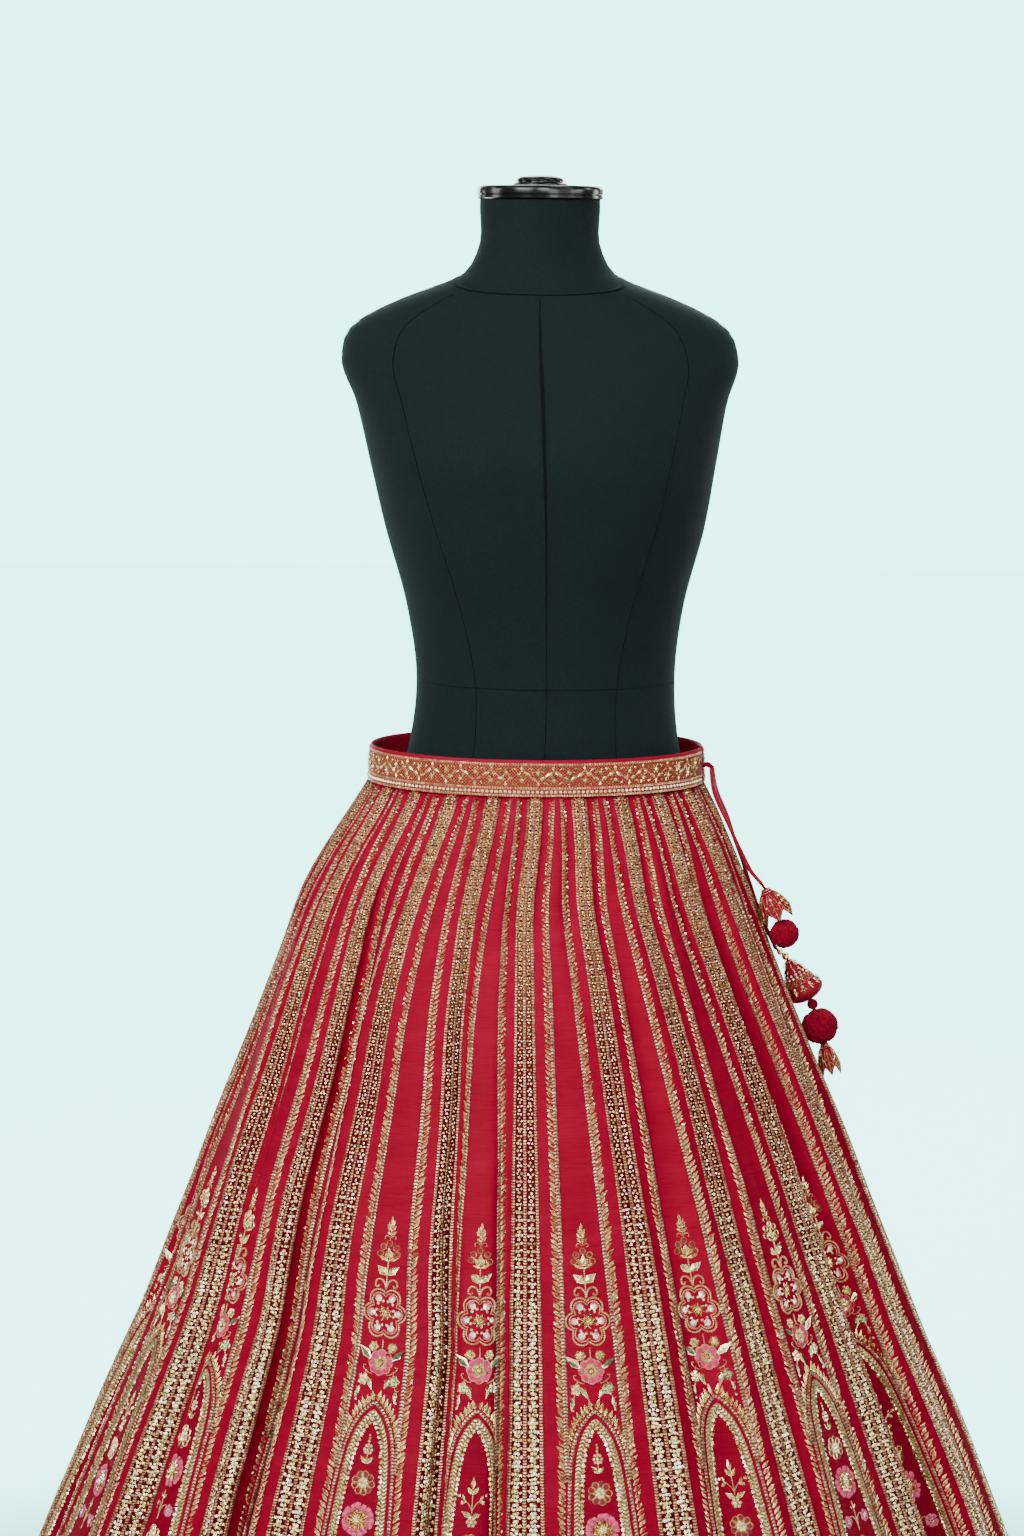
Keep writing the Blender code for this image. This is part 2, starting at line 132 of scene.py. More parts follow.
class Value:
    """An output of a node. Arithmetic on it adds Math nodes."""

    def __init__(self, nodes, socket):
        self.nodes, self.socket = nodes, socket

    def other(self, name):
        return Value(self.nodes, self.socket.node.outputs[name])

    def math(self, operation, *values):
        return self.nodes.math(operation, self, *values)

    def __add__(self, value):
        return self.math("ADD", value)

    def __sub__(self, value):
        return self.math("SUBTRACT", value)

    def __rsub__(self, value):
        return self.nodes.math("SUBTRACT", value, self)

    def __mul__(self, value):
        return self.math("MULTIPLY", value)

    def __truediv__(self, value):
        return self.math("DIVIDE", value)

    __radd__, __rmul__ = __add__, __mul__

    def absolute(self):
        return self.math("ABSOLUTE")

    def to_whole(self):
        """Distance to the nearest whole number."""
        return self.math("PINGPONG", 0.5)

    def between(self, low, high):
        """0 at low and 1 at high, eased."""
        return self.nodes.node("ShaderNodeMapRange", {"interpolation_type": "SMOOTHSTEP"},
                               {"Value": self, "From Min": low, "From Max": high})


class Nodes:
    """A node tree. node() adds one node, feeds it and gives back one of its outputs."""

    def __init__(self, tree):
        self.tree = tree

    def node(self, kind, settings=None, sockets=None, output=0):
        made = self.tree.nodes.new(kind)
        for name, setting in (settings or {}).items():
            setattr(made, name, setting)
        for name, value in (sockets or {}).items():
            self.feed(made.inputs[name], value)
        return Value(self, made.outputs[output]) if made.outputs else None

    def feed(self, socket, value):
        if isinstance(value, Value):
            self.tree.links.new(value.socket, socket)
        elif socket.type == "RGBA":
            socket.default_value = (*value, 1.0)
        else:
            socket.default_value = value

    def math(self, operation, *values):
        return self.node("ShaderNodeMath", {"operation": operation}, dict(enumerate(values)))

    def mix(self, start, end, share, blend="MIX"):
        settings = {"data_type": "RGBA", "blend_type": blend}
        return self.node("ShaderNodeMix", settings, {0: share, 6: start, 7: end}, output=2)


class Finish(Nodes):
    """One material: surface() sets what shows."""

    def __init__(self, name):
        self.material = bpy.data.materials.new(name)
        self.material.use_nodes = True
        super().__init__(self.material.node_tree)

    def object_place(self):
        return self.node("ShaderNodeTexCoord").other("Object")

    def cut_place(self):
        """The two values of the piece's cut map."""
        cut = self.node("ShaderNodeUVMap", {"uv_map": "cut"})
        first = self.node("ShaderNodeSeparateXYZ", {}, {"Vector": cut})
        return first, first.other("Y")

    def noise(self, vector, scale, detail=2.0):
        """Noise of one scale, or of one scale along each axis."""
        if isinstance(scale, tuple):
            vector, scale = self.node("ShaderNodeMapping", {}, {"Vector": vector, "Scale": scale}), 1.0
        return self.node("ShaderNodeTexNoise", {}, {"Vector": vector, "Scale": scale, "Detail": detail})

    def bump(self, height, distance, strength=1.0):
        return self.node("ShaderNodeBump", {}, {"Height": height, "Distance": distance, "Strength": strength})

    def surface(self, **sockets):
        for name, value in sockets.items():
            self.feed(self.tree.nodes["Principled BSDF"].inputs[name.replace("_", " ")], value)
        return self.material


def unit(vectors):
    return vectors / np.linalg.norm(vectors, axis=-1, keepdims=True)


def distances(points):
    """How far along a line each of its points lies."""
    return np.concatenate([[0.0], np.cumsum(np.linalg.norm(np.diff(points, axis=0), axis=1))])


def add_piece(name, points, faces, look, smooth=True):
    mesh = bpy.data.meshes.new(name)
    mesh.from_pydata([tuple(p) for p in np.asarray(points, float).tolist()], [], faces)
    mesh.validate()
    if smooth:
        mesh.shade_smooth()
    mesh.materials.append(look)
    made = bpy.data.objects.new(name, mesh)
    bpy.context.scene.collection.objects.link(made)
    return made


def stand_for(piece, slot, *nodes):
    """The piece rides on the part's one body and takes the place of these solids."""
    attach(piece, "root")
    if nodes:
        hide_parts(*nodes)
    return piece


def through(places, values, at):
    """A smooth curve through (places, values), read at the places given; places rise."""
    slopes = np.gradient(values, places)
    left = np.clip(np.searchsorted(places, at) - 1, 0, len(places) - 2)
    run = places[left + 1] - places[left]
    t = (at - places[left]) / run
    start = values[left] * (1 + 2 * t) * (1 - t) ** 2 + run * slopes[left] * t * (1 - t) ** 2
    end = values[left + 1] * t * t * (3 - 2 * t) + run * slopes[left + 1] * t * t * (t - 1)
    return start + end


def smooth_path(corners, count):
    """Even points of a smooth line through these corners, as many as count gives for its length."""
    corners = np.array(corners, float)
    lengths = distances(corners)
    reads = np.linspace(0, lengths[-1], count(lengths[-1]))
    return np.stack([through(lengths, axis, reads) for axis in corners.T], axis=-1)


def tube_faces(rings, sides):
    """Faces of a closed tube of rings, with a cap at each end."""
    faces = []
    for r in range(rings - 1):
        for s in range(sides):
            a, b = r * sides + s, r * sides + (s + 1) % sides
            faces.append((a, b, b + sides, a + sides))
    faces.append(tuple(range(sides))[::-1])
    faces.append(tuple((rings - 1) * sides + s for s in range(sides)))
    return faces


def folded_silk():
    look = Finish("folded_silk")
    place = look.object_place()
    slub = look.noise(place, (160, 160, 1400), 3.0)
    crumple = look.noise(place, 220.0)
    return look.surface(
        Base_Color=look.mix(TIE_RED, TIE_BRIGHT, crumple.between(0.4, 0.7)),
        Roughness=0.5 + 0.2 * slub,
        Normal=look.bump(slub * 0.4 + crumple, 0.0006),
        Specular_IOR_Level=0.15,
        Sheen_Weight=0.15,
        Sheen_Tint=(1.0, 0.12, 0.22),
    )


def make_tie(name, route, look):
    path = smooth_path(route, lambda length: int(round(length / TIE_STEP)) + 1)
    run = unit(np.gradient(path, axis=0))
    side = unit(np.cross(run, (0.0, 1.0, 0.0)))
    share = np.linspace(0, 1, len(path))[:, None]
    waves = 0.30 * np.sin(pi * share) ** 2 * (0.5 + 0.5 * np.sin(9 * share))
    pinch = 1 - waves - 0.35 * np.maximum(0, (share - 0.9) / 0.1)
    twist = 0.45 * np.sin(5.5 * share + 0.6)
    turn = 2 * pi * np.arange(TIE_SIDES) / TIE_SIDES
    a = TIE_WIDTH / 2 * pinch * np.cos(turn)
    b = TIE_DEPTH / 2 * (1.3 - 0.3 * pinch) * np.sin(turn) * (1 + 0.35 * np.cos(3 * turn))
    across, out = a * np.cos(twist) - b * np.sin(twist), a * np.sin(twist) + b * np.cos(twist)
    front = np.cross(side, run)
    rings = path[:, None] + front[:, None] * across[..., None] + side[:, None] * out[..., None]
    tie = add_piece(name, rings.reshape(-1, 3), tube_faces(len(path), TIE_SIDES), look)
    shape = bmesh.new()
    shape.from_mesh(tie.data)
    bmesh.ops.recalc_face_normals(shape, faces=shape.faces)
    shape.to_mesh(tie.data)
    shape.free()
    return tie, path


silk_fold = folded_silk()
tie_short, short_path = make_tie("tie_short_silk", SHORT_TIE, silk_fold)
tie_long, long_path = make_tie("tie_long_silk", LONG_TIE, silk_fold)
stand_for(tie_short, "silk_cord", "tie_short")
stand_for(tie_long, "silk_cord", "tie_long")


# --- Gores ------------------------------------------------------------------------------------
# Eleven flared gores of raw silk, each two arches wide, seamed under every second stripe and
# gathered to the waistband. Their folds deepen towards the hem and are steepest behind.
BAND_BOTTOM = 0.985
HEM_HEIGHT = 0.012
CLOTH_THICKNESS = 0.0020
SEAM_GAP = 0.0003
GORES = 11
ARCHES_PER_GORE = 2
ARCHES = GORES * ARCHES_PER_GORE
CUT_WAIST = 0.93
CUT_FLARE = 3.15
FIRST_SEAM = -1
FRONT_TURN = radians(-0.6)
STEPS_PER_ARCH = 16
CLOTH_ROWS = 52

OUTLINE_HEIGHTS = np.array((0.985, 0.960, 0.935, 0.890, 0.820, 0.740, 0.640, 0.500, 0.340, 0.180, 0.012))
OUTLINE_RIGHT = np.array((0.1610, 0.1760, 0.1930, 0.2200, 0.2460, 0.2760, 0.3150, 0.3680, 0.4370, 0.5030,
                          0.5700))
OUTLINE_LEFT = np.array((0.1610, 0.1740, 0.1860, 0.2040, 0.2300, 0.2620, 0.3040, 0.3600, 0.4300, 0.4920,
                         0.5600))
OUTLINE_DEPTH = np.array((0.122, 0.134, 0.149, 0.172, 0.210, 0.252, 0.303, 0.364, 0.434, 0.492, 0.552))

# Each fold: its place, its depth in mean folds, its half-width in arches and where it starts.
FOLDS = (
    (-5.35, 1.35, 0.46, 0.00), (-3.80, 0.95, 0.30, 0.12), (-3.17, 0.40, 0.22, 0.12),
    (-2.61, 1.75, 0.42, 0.00), (-0.875, 1.00, 0.24, 0.05), (-0.25, 0.75, 0.19, 0.12),
    (1.42, 0.65, 0.36, 0.05), (2.05, 0.35, 0.30, 0.20), (2.75, 0.75, 1.20, 0.00),
    (3.48, 1.35, 0.40, 0.00), (4.55, 1.00, 0.42, 0.08), (5.60, 1.25, 0.46, 0.00),
    (6.55, 1.10, 0.40, 0.16), (7.50, 1.60, 0.48, 0.00), (8.55, 1.15, 0.42, 0.12),
    (9.50, 1.45, 0.46, 0.04), (10.45, 1.60, 0.46, 0.00), (11.50, 1.15, 0.42, 0.14),
    (12.50, 1.59, 0.48, 0.00), (13.52, 1.01, 0.40, 0.18), (14.50, 1.36, 0.46, 0.02),
    (15.52, 0.98, 0.42, 0.10),
)
EVEN_DOWN_TO = 0.30
FOLD_RUN_IN = 0.25
FOLD_AT_START = 0.25
GATHERS_PER_ARCH = 2
GATHER_SHARE = 0.5
GATHERS_END = 0.22
FOLD_STEPS = 24
CREASE_HEIGHT = 0.0011
DEEPEST_FOLD = 0.14

# The silk's dyes, a painted shade under the stripes for the gaps that the sequins shade, and the gilt threads
# that cross there.
CRIMSON = (0.29, 0.0018, 0.0210)
DEEP_CRIMSON = (0.13, 0.0010, 0.0095)
BRIGHT_CRIMSON = (0.38, 0.0032, 0.0290)
SHADE_UNDER_SEQUINS = (0.060, 0.0006, 0.0035)
GILT_LATTICE = (0.50, 0.27, 0.09)


def ease(t):
    t = np.clip(t, 0.0, 1.0)
    return t * t * (3 - 2 * t)


def cut_width(slant):
    """Width of one arch of flat cloth, this far down from the waistband."""
    return (CUT_WAIST + CUT_FLARE * slant) / ARCHES


def outline_at(heights):
    """Half-width on each side and half-depth of the filled skirt."""
    drops, drop = BAND_BOTTOM - OUTLINE_HEIGHTS, BAND_BOTTOM - heights
    return [through(drops, side, drop) for side in (OUTLINE_RIGHT, OUTLINE_LEFT, OUTLINE_DEPTH)]


ruler_heights = np.linspace(BAND_BOTTOM, HEM_HEIGHT, 400)
ruler_reach = sum(np.array(outline_at(ruler_heights)) * np.array([[1], [1], [2]])) / 4
ruler_slants = distances(np.stack([ruler_heights, ruler_reach], axis=1))
HEM_SLANT = ruler_slants[-1]


def fold_pattern(place, slant):
    """How far in the cloth stands at each place, in units of the mean fold."""
    inward = np.zeros(np.broadcast(place, slant).shape)
    for fold_place, depth, width, start in FOLDS:
        away = (place - fold_place + ARCHES / 2) % ARCHES - ARCHES / 2
        valley = 0.5 + 0.5 * np.cos(pi * np.clip(away / width, -1, 1))
        share = 1 + (depth - 1) * ease(slant / EVEN_DOWN_TO)
        begun = FOLD_AT_START + (1 - FOLD_AT_START) * ease((slant - start) / FOLD_RUN_IN)
        inward = inward + valley * share * begun
    gathers = 0.5 - 0.5 * np.cos(2 * pi * GATHERS_PER_ARCH * place)
    return inward + GATHER_SHARE * gathers * (1 - ease(slant / GATHERS_END))


def skirt_rings(slants):
    """Points of the cloth's outer face, [place, row, xyz].

    Each ring turns by as much as its own length of cloth allows, and its folds are
    just deep enough for that cloth to close the ring.
    """
    heights = np.interp(slants, ruler_slants, ruler_heights)
    right, left, depth = outline_at(heights)
    wide = (right + left) / 2
    cloth = cut_width(slants)
    places = np.arange(ARCHES * STEPS_PER_ARCH + 1) / STEPS_PER_ARCH
    pattern = fold_pattern(places[:, None], slants[None, :])
    step = 1 / STEPS_PER_ARCH

    def turned(fold_depth):
        reach = 1 - fold_depth * pattern / ((wide + depth) / 2)
        angle = np.full(len(slants), FRONT_TURN)
        angles = [angle]
        for k in range(len(places) - 1):
            change = (reach[k + 1] - reach[k]) / step
            middle = (reach[k + 1] + reach[k]) / 2

            def turn_rate(at):
                s, c = np.sin(at), np.cos(at)
                a = (wide**2 * c * c + depth**2 * s * s) * middle**2
                b = 2 * middle * change * s * c * (wide**2 - depth**2)
                rest = change**2 * (wide**2 * s * s + depth**2 * c * c) - cloth**2
                root = np.sqrt(np.maximum(b * b - 4 * a * rest, 0))
                return np.maximum((root - b) / (2 * a), 0)

            halfway = angle + step * turn_rate(angle) / 2
            angle = angle + step * turn_rate(halfway)
            angles.append(angle)
        return np.array(angles), reach

    low = np.zeros(len(slants))
    high = np.full(len(slants), DEEPEST_FOLD)
    for _ in range(FOLD_STEPS):
        tried = (low + high) / 2
        angles = turned(tried)[0]
        too_far = angles[-1] - angles[0] > 2 * pi
        low, high = np.where(too_far, tried, low), np.where(too_far, high, tried)
    angles, reach = turned((low + high) / 2)
    across = (left - right) / 2 + wide * reach * np.sin(angles)
    back = -depth * reach * np.cos(angles)
    points = np.stack([across, back, np.broadcast_to(heights, across.shape)], axis=-1)
    points[-1] = points[0]
    return points[:-1], angles[:-1]


def outward(loop):
    """Unit normals and unit tangents along each ring, of a closed set of rings."""
    along = np.roll(loop, -1, axis=0) - np.roll(loop, 1, axis=0)
    down = np.gradient(loop, axis=1)
    return unit(np.cross(down, along)), unit(along)


def creases(place, slant):
    """Small soft dents and ridges that the silk keeps, uneven in length and spacing."""
    turn = 2 * pi * place / ARCHES
    soft = np.sin(31 * turn + 5 * np.sin(7 * slant) + 1.3 * np.sin(3 * turn))
    soft = soft * np.sin(9 * slant + 2.1 * np.sin(4 * turn))
    fine = np.sin(67 * turn - 11 * slant + 2.2 * np.sin(9 * turn))
    fine = fine * np.sin(17 * slant + 3.0 * np.sin(5 * turn))
    return CREASE_HEIGHT * (soft + 0.45 * fine) * ease(slant / 0.06)


cloth_slants = np.linspace(0.0, HEM_SLANT, CLOTH_ROWS + 1)
cloth_points, cloth_angles = skirt_rings(cloth_slants)
cloth_places = np.arange(ARCHES * STEPS_PER_ARCH)[:, None] / STEPS_PER_ARCH
cloth_points = cloth_points + outward(cloth_points)[0] * creases(cloth_places, cloth_slants)[..., None]
cloth_points[..., 2] = np.maximum(cloth_points[..., 2], HEM_HEIGHT)
cloth_normals, cloth_along = outward(cloth_points)


ARCH_TIP = 0.557
ARCH_SHOULDER = 0.024
ARCH_SPRING = 0.018
ARCH_FLARE = 0.066
STRIPE_TOP = 0.0095
STRIPE_FLARE = 0.041
STRIPE_GATHERED = 0.0065
CHAIN_TOP = 0.0026
CHAIN_FLARE = 0.0028


def arch_half_width(below_tip):
    """Half-width of an arch's outer line, this far below its tip."""
    below = np.maximum(below_tip, 0)
    return ARCH_SHOULDER * (1 - np.exp(-below / ARCH_SPRING)) + ARCH_FLARE * below


def stripe_width(slant):
    return STRIPE_TOP + STRIPE_FLARE * slant + STRIPE_GATHERED * np.exp(-slant / 0.14)


def chain_width(slant):
    return CHAIN_TOP + CHAIN_FLARE * slant


def raw_silk():
    """Hand-woven silk: level slubs, a fine grain, brighter where it is worn smooth. It is darker
    inside the arches. Under the stripes it is darkened with painted shade for the gaps that the
    sequins shade, and gilt threads cross there below the sequins."""
    look = Finish("raw_silk")
    place, slant = look.cut_place()
    width = cut_width(slant)
    from_stripe = place.to_whole() * width
    below = (slant - ARCH_TIP).math("MAXIMUM", 0.0)
    spread = ARCH_SHOULDER * (1 - (below * (-1 / ARCH_SPRING)).math("EXPONENT")) + ARCH_FLARE * below
    inside = (spread - (0.5 * width - from_stripe)).between(0.010, 0.013)
    half_stripe = (STRIPE_TOP + STRIPE_FLARE * slant) / 2
    under_stripe = (half_stripe - from_stripe).between(-0.0005, 0.0008)
    across = from_stripe / half_stripe
    zigzag = (slant / 0.0092).to_whole() * 2
    nearest = (zigzag - across).absolute().math("MINIMUM", (1 - zigzag - across).absolute())
    lattice = (1 - nearest.between(0.10, 0.20)) * slant.between(0.26, 0.06)
    metres = look.node("ShaderNodeCombineXYZ", {}, {"X": place * width, "Y": slant})
    slub = look.noise(metres, (28, 1500, 1), 3.0)
    long_slub = look.noise(metres, (9, 620, 1), 2.0)
    grain = look.noise(metres, (1100, 500, 1), 1.0)
    colour = CRIMSON
    for dye, share in (
        (BRIGHT_CRIMSON, look.noise(metres, 9.0, 3.0).between(0.35, 0.75) * 0.55),
        (DEEP_CRIMSON, slub.between(0.45, 0.75) * 0.55),
        (BRIGHT_CRIMSON, long_slub.between(0.60, 0.80) * 0.35),
        (DEEP_CRIMSON, inside * 0.30),
        # painted shade: the silk under the stripes is darkened as if the sequins above shaded it
        (SHADE_UNDER_SEQUINS, under_stripe * 0.85),
        (GILT_LATTICE, under_stripe * lattice * 0.8),
    ):
        colour = look.mix(colour, dye, share)
    return look.surface(
        Base_Color=colour,
        Roughness=0.42 + 0.22 * slub,
        Normal=look.bump(slub * 0.7 + long_slub * 0.6 + grain * 0.25, 0.00045, 0.7),
        Specular_IOR_Level=0.03,
        Sheen_Weight=0.03,
        Sheen_Roughness=0.4,
        Sheen_Tint=(1.0, 0.06, 0.20),
    )


def cut_map(piece, places, slants):
    """Gives a piece a UV map of its place and slant, one pair for each vertex."""
    mesh = piece.data
    corners = np.empty(len(mesh.loops), np.int32)
    mesh.loops.foreach_get("vertex_index", corners)
    layer = mesh.uv_layers.new(name="cut")
    layer.data.foreach_set("uv", np.stack([places[corners], slants[corners]],
                                          axis=-1).astype(np.float32).ravel())


def wall(name, outer, inner, look, closed=False):
    """A wall between two grids of points, [column, row, xyz], which may run all round."""
    columns, rows = outer.shape[:2]
    count = columns * rows
    c, r = np.meshgrid(np.arange(columns if closed else columns - 1), np.arange(rows - 1), indexing="ij")
    a, b = (c * rows + r).ravel(), ((c + 1) % columns * rows + r).ravel()
    front = np.stack([a, a + 1, b + 1, b], axis=-1)
    back = np.stack([a, b, b + 1, a + 1], axis=-1) + count
    a, b = c[:, 0] * rows, (c[:, 0] + 1) % columns * rows
    top = np.stack([a, b, b + count, a + count], axis=-1)
    bottom = np.stack([a + count, b + count, b, a], axis=-1) + rows - 1
    faces = [front, back, top, bottom]
    if not closed:
        r = np.arange(rows - 1)
        end = np.stack([r + count, r + 1 + count, r + 1, r], axis=-1)
        faces += [end, end[:, ::-1] + (columns - 1) * rows]
    points = np.concatenate([outer.reshape(-1, 3), inner.reshape(-1, 3)])
    return add_piece(name, points, np.concatenate(faces).tolist(), look)


silk = raw_silk()
around = ARCHES * STEPS_PER_ARCH
span = ARCHES_PER_GORE * STEPS_PER_ARCH
gores = []
for number in range(GORES):
    first = FIRST_SEAM * STEPS_PER_ARCH + number * span
    steps = np.arange(first, first + span + 1)
    columns = steps % around
    outer = cloth_points[columns].copy()
    outer[0] += cloth_along[columns[0]] * SEAM_GAP / 2
    outer[-1] -= cloth_along[columns[-1]] * SEAM_GAP / 2
    inner = outer - cloth_normals[columns] * CLOTH_THICKNESS
    inner[:, :, 2] = outer[:, :, 2]
    gore = wall(f"silk_gore_{number + 1:02d}", outer, inner, silk)
    places = np.broadcast_to((steps / STEPS_PER_ARCH)[:, None], outer.shape[:2]).ravel()
    slants = np.broadcast_to(cloth_slants[None, :], outer.shape[:2]).ravel()
    cut_map(gore, np.tile(places, 2) + ARCHES, np.tile(slants, 2))
    stand_for(gore, "embroidered_silk", f"gore_{number + 1:02d}")
    waist_cut = ARCHES_PER_GORE * cut_width(0.0)
    hem_cut = ARCHES_PER_GORE * cut_width(HEM_SLANT)
    (waist_cut + hem_cut) / 2 * HEM_SLANT
    gores.append(gore)


# --- Couched cords ----------------------------------------------------------------------------
# Rows of fine gilt chain and cord, laid on the silk and sewn down: the borders of each stripe,
# the leaf lines beside each column and over each arch, and the braid inside each arch.
PALE_GOLD = (0.86, 0.70, 0.31)
WHITE_GOLD = (0.97, 0.93, 0.66)
GREEN_GOLD = (0.50, 0.43, 0.17)
OLD_GOLD = (0.28, 0.14, 0.045)
COLUMN_LINE_TOP = 0.0035
COLUMN_LINE_FLARE = 0.0395
JUNCTION = 0.0630
CORD_STEP = 0.011
CORD_HIGH = 0.0013
TWO_CORDS = ((-1.0, -0.2), (-0.55, 1.0), (0.0, 0.35), (0.55, 1.0), (1.0, -0.2))
BRAID = ((-1.0, -0.2), (-0.8, 0.9), (-0.4, 0.5), (0.0, 1.0), (0.4, 0.5), (0.8, 0.9), (1.0, -0.2))
ONE_CORD = ((-1.0, -0.2), (0.0, 1.0), (1.0, -0.2))


def laid(place, slant):
    """Points of the cloth at these places and slants, with the directions out, across and down."""
    steps = np.asarray(place, float) * STEPS_PER_ARCH
    rows = np.clip(np.asarray(slant, float) / HEM_SLANT, 0, 1) * CLOTH_ROWS
    column = np.floor(steps).astype(int)
    row = np.minimum(np.floor(rows).astype(int), CLOTH_ROWS - 1)
    f, g = (steps - column)[..., None], (rows - row)[..., None]
    a, b = column % around, (column + 1) % around

    def between(start, end, share):
        return start * (1 - share) + end * share

    def read(grid):
        here, below = (between(grid[a, level], grid[b, level], f) for level in (row, row + 1))
        return between(here, below, g)

    (p, q), (u, v) = ((cloth_points[c, row], cloth_points[c, row + 1]) for c in (a, b))
    across, down = between(u - p, v - q, g), between(q - p, v - u, f)
    return read(cloth_points), unit(read(cloth_normals)), unit(across), unit(down)


class Couching:
    """Cords laid on the flat cut and followed over the cloth's folds, gathered into one piece."""

    def __init__(self, cloth=laid, width=cut_width):
        self.cloth, self.width = cloth, width
        self.points, self.faces, self.runs, self.sides, self.count = [], [], [], [], 0

    def lay(self, place, slant, half_width, height, profile, closed=False):
        place, slant = np.asarray(place, float), np.asarray(slant, float)
        half_width = np.broadcast_to(half_width, place.shape)[:, None]
        width = self.width(slant)
        if closed:
            x_run = np.roll(place, -1) - np.roll(place, 1)
            x_run = (x_run - np.round(x_run)) * width
            y_run = np.roll(slant, -1) - np.roll(slant, 1)
        else:
            x_run, y_run = np.gradient(place) * width, np.gradient(slant)
        size = np.hypot(x_run, y_run)
        x_side, y_side = -(y_run / size)[:, None], (x_run / size)[:, None]
        offsets, heights = np.array(profile).T
        reads = self.cloth(place[:, None] + x_side * offsets * half_width / width[:, None],
                           slant[:, None] + y_side * offsets * half_width)
        ring = reads[0] + reads[1] * (heights * height)[None, :, None]
        stations, sides = ring.shape[:2]
        turns = stations if closed else stations - 1
        s, k = np.meshgrid(np.arange(turns), np.arange(sides), indexing="ij")
        here, there = s * sides, (s + 1) % stations * sides
        after = (k + 1) % sides
        faces = np.stack([here + k, here + after, there + after, there + k], axis=-1).reshape(-1, 4)
        self.faces += (faces + self.count).tolist()
        if not closed:
            end = self.count + (stations - 1) * sides
            self.faces += [[*range(self.count, self.count + sides)][::-1], [*range(end, end + sides)]]
        run = np.concatenate([[0.0], np.cumsum(np.hypot(np.diff(place) * width[1:], np.diff(slant)))])
        self.points.append(ring.reshape(-1, 3))
        self.runs.append(np.repeat(run, sides))
        self.sides.append(np.tile(offsets * 0.5, stations))
        self.count += stations * sides

    def piece(self, name, look, slot="embroidered_silk"):
        made = add_piece(name, np.concatenate(self.points), self.faces, look)
        cut_map(made, np.concatenate(self.runs) * 100, np.concatenate(self.sides))
        return stand_for(made, slot)


def gilt_cord(name, bead, slope, bright, dull):
    """Gilt chain or twisted cord: links of this length, sloping by so much, over red silk."""
    look = Finish(name)
    run, side = look.cut_place()
    rounded = ((run / (bead * 100) + side.absolute() * slope).to_whole() * 2).between(0.0, 0.75)
    wear = look.noise(look.object_place(), 260.0)
    colour = look.mix(dull, bright, rounded * wear.between(0.2, 0.8))
    colour = look.mix(colour, WHITE_GOLD, wear.between(0.60, 0.72) * rounded * 0.5)
    return look.surface(
        Base_Color=colour,
        Metallic=0.15 + 0.60 * rounded,
        Roughness=0.50 - 0.18 * rounded,
        Normal=look.bump(rounded, 0.0007),
    )


def down_to(start, end):
    return np.linspace(start, end, int(np.ceil((end - start) / CORD_STEP)) + 1)


def main_line(slant):
    """Half-distance between an arch's two leaf lines, from the waist to the hem."""
    return np.maximum(COLUMN_LINE_TOP + COLUMN_LINE_FLARE * slant, arch_half_width(slant - ARCH_TIP))


def arch_leg(inset, deepest):
    """One leg of an arch, this far inside its outer line: distances from the axis and slants."""
    below = deepest * np.linspace(0, 1, 46) ** 2.2
    across = arch_half_width(below)
    slope = np.gradient(across, below)
    size = np.hypot(slope, 1)
    x, y = across - inset / size, below + inset * slope / size
    kept = x > 0
    first = int(np.argmax(kept))
    if first:
        share = x[first] / (x[first] - x[first - 1])
        tip = y[first] + (y[first - 1] - y[first]) * share
        x, y = np.concatenate([[0.0], x[kept]]), np.concatenate([[tip], y[kept]])
    return x, y + ARCH_TIP


def whole_arch(inset, deepest):
    x, y = arch_leg(inset, deepest)
    return np.concatenate([-x[:0:-1], x]), np.concatenate([y[:0:-1], y])


HEM_BRAID = 0.0125
work_end = HEM_SLANT - HEM_BRAID
borders, leaf_lines, braids = Couching(), Couching(), Couching()
for stripe in range(ARCHES):
    slant = down_to(0.002, work_end)
    half, border = stripe_width(slant) / 2, chain_width(slant) / 2
    for side in (-1, 0, 1):
        place = stripe + side * (half - border) / cut_width(slant)
        borders.lay(place, slant, border, CORD_HIGH, TWO_CORDS)
    axis = stripe + 0.5
    slant = down_to(0.002, ARCH_TIP + JUNCTION)
    for side in (-1, 1):
        place = axis + side * main_line(slant) / cut_width(slant)
        leaf_lines.lay(place, slant, 0.0016 + 0.0022 * slant, 0.0014, TWO_CORDS)
    for cords, inset, half, height, profile in (
        (leaf_lines, 0.0014, 0.0019, CORD_HIGH, TWO_CORDS), (braids, 0.0084, 0.0029, 0.0015, BRAID),
    ):
        x, y = whole_arch(inset, work_end - ARCH_TIP)
        cords.lay(axis + x / cut_width(y), y, half, height, profile)
hem_places = np.arange(0, ARCHES, 1 / 16)
for above, profile, half in ((0.0105, TWO_CORDS, 0.0020), (0.0045, BRAID, 0.0036)):
    slant = np.full(hem_places.shape, HEM_SLANT - above)
    braids.lay(hem_places, slant, half, 0.0014, profile, closed=True)

gilt_chain = gilt_cord("gilt_chain", 0.0026, 0.6, (0.68, 0.38, 0.20), (0.12, 0.007, 0.011))
borders.piece("stripe_borders", gilt_chain)
gilt_twist = gilt_cord("gilt_twist", 0.0030, -0.9, (0.62, 0.40, 0.21), (0.12, 0.008, 0.011))
leaf_lines.piece("leaf_line_cords", gilt_twist)
gilt_braid = gilt_cord("gilt_braid", 0.0034, 1.2, (0.58, 0.44, 0.19), (0.16, 0.08, 0.030))
braids.piece("arch_braids", gilt_braid)


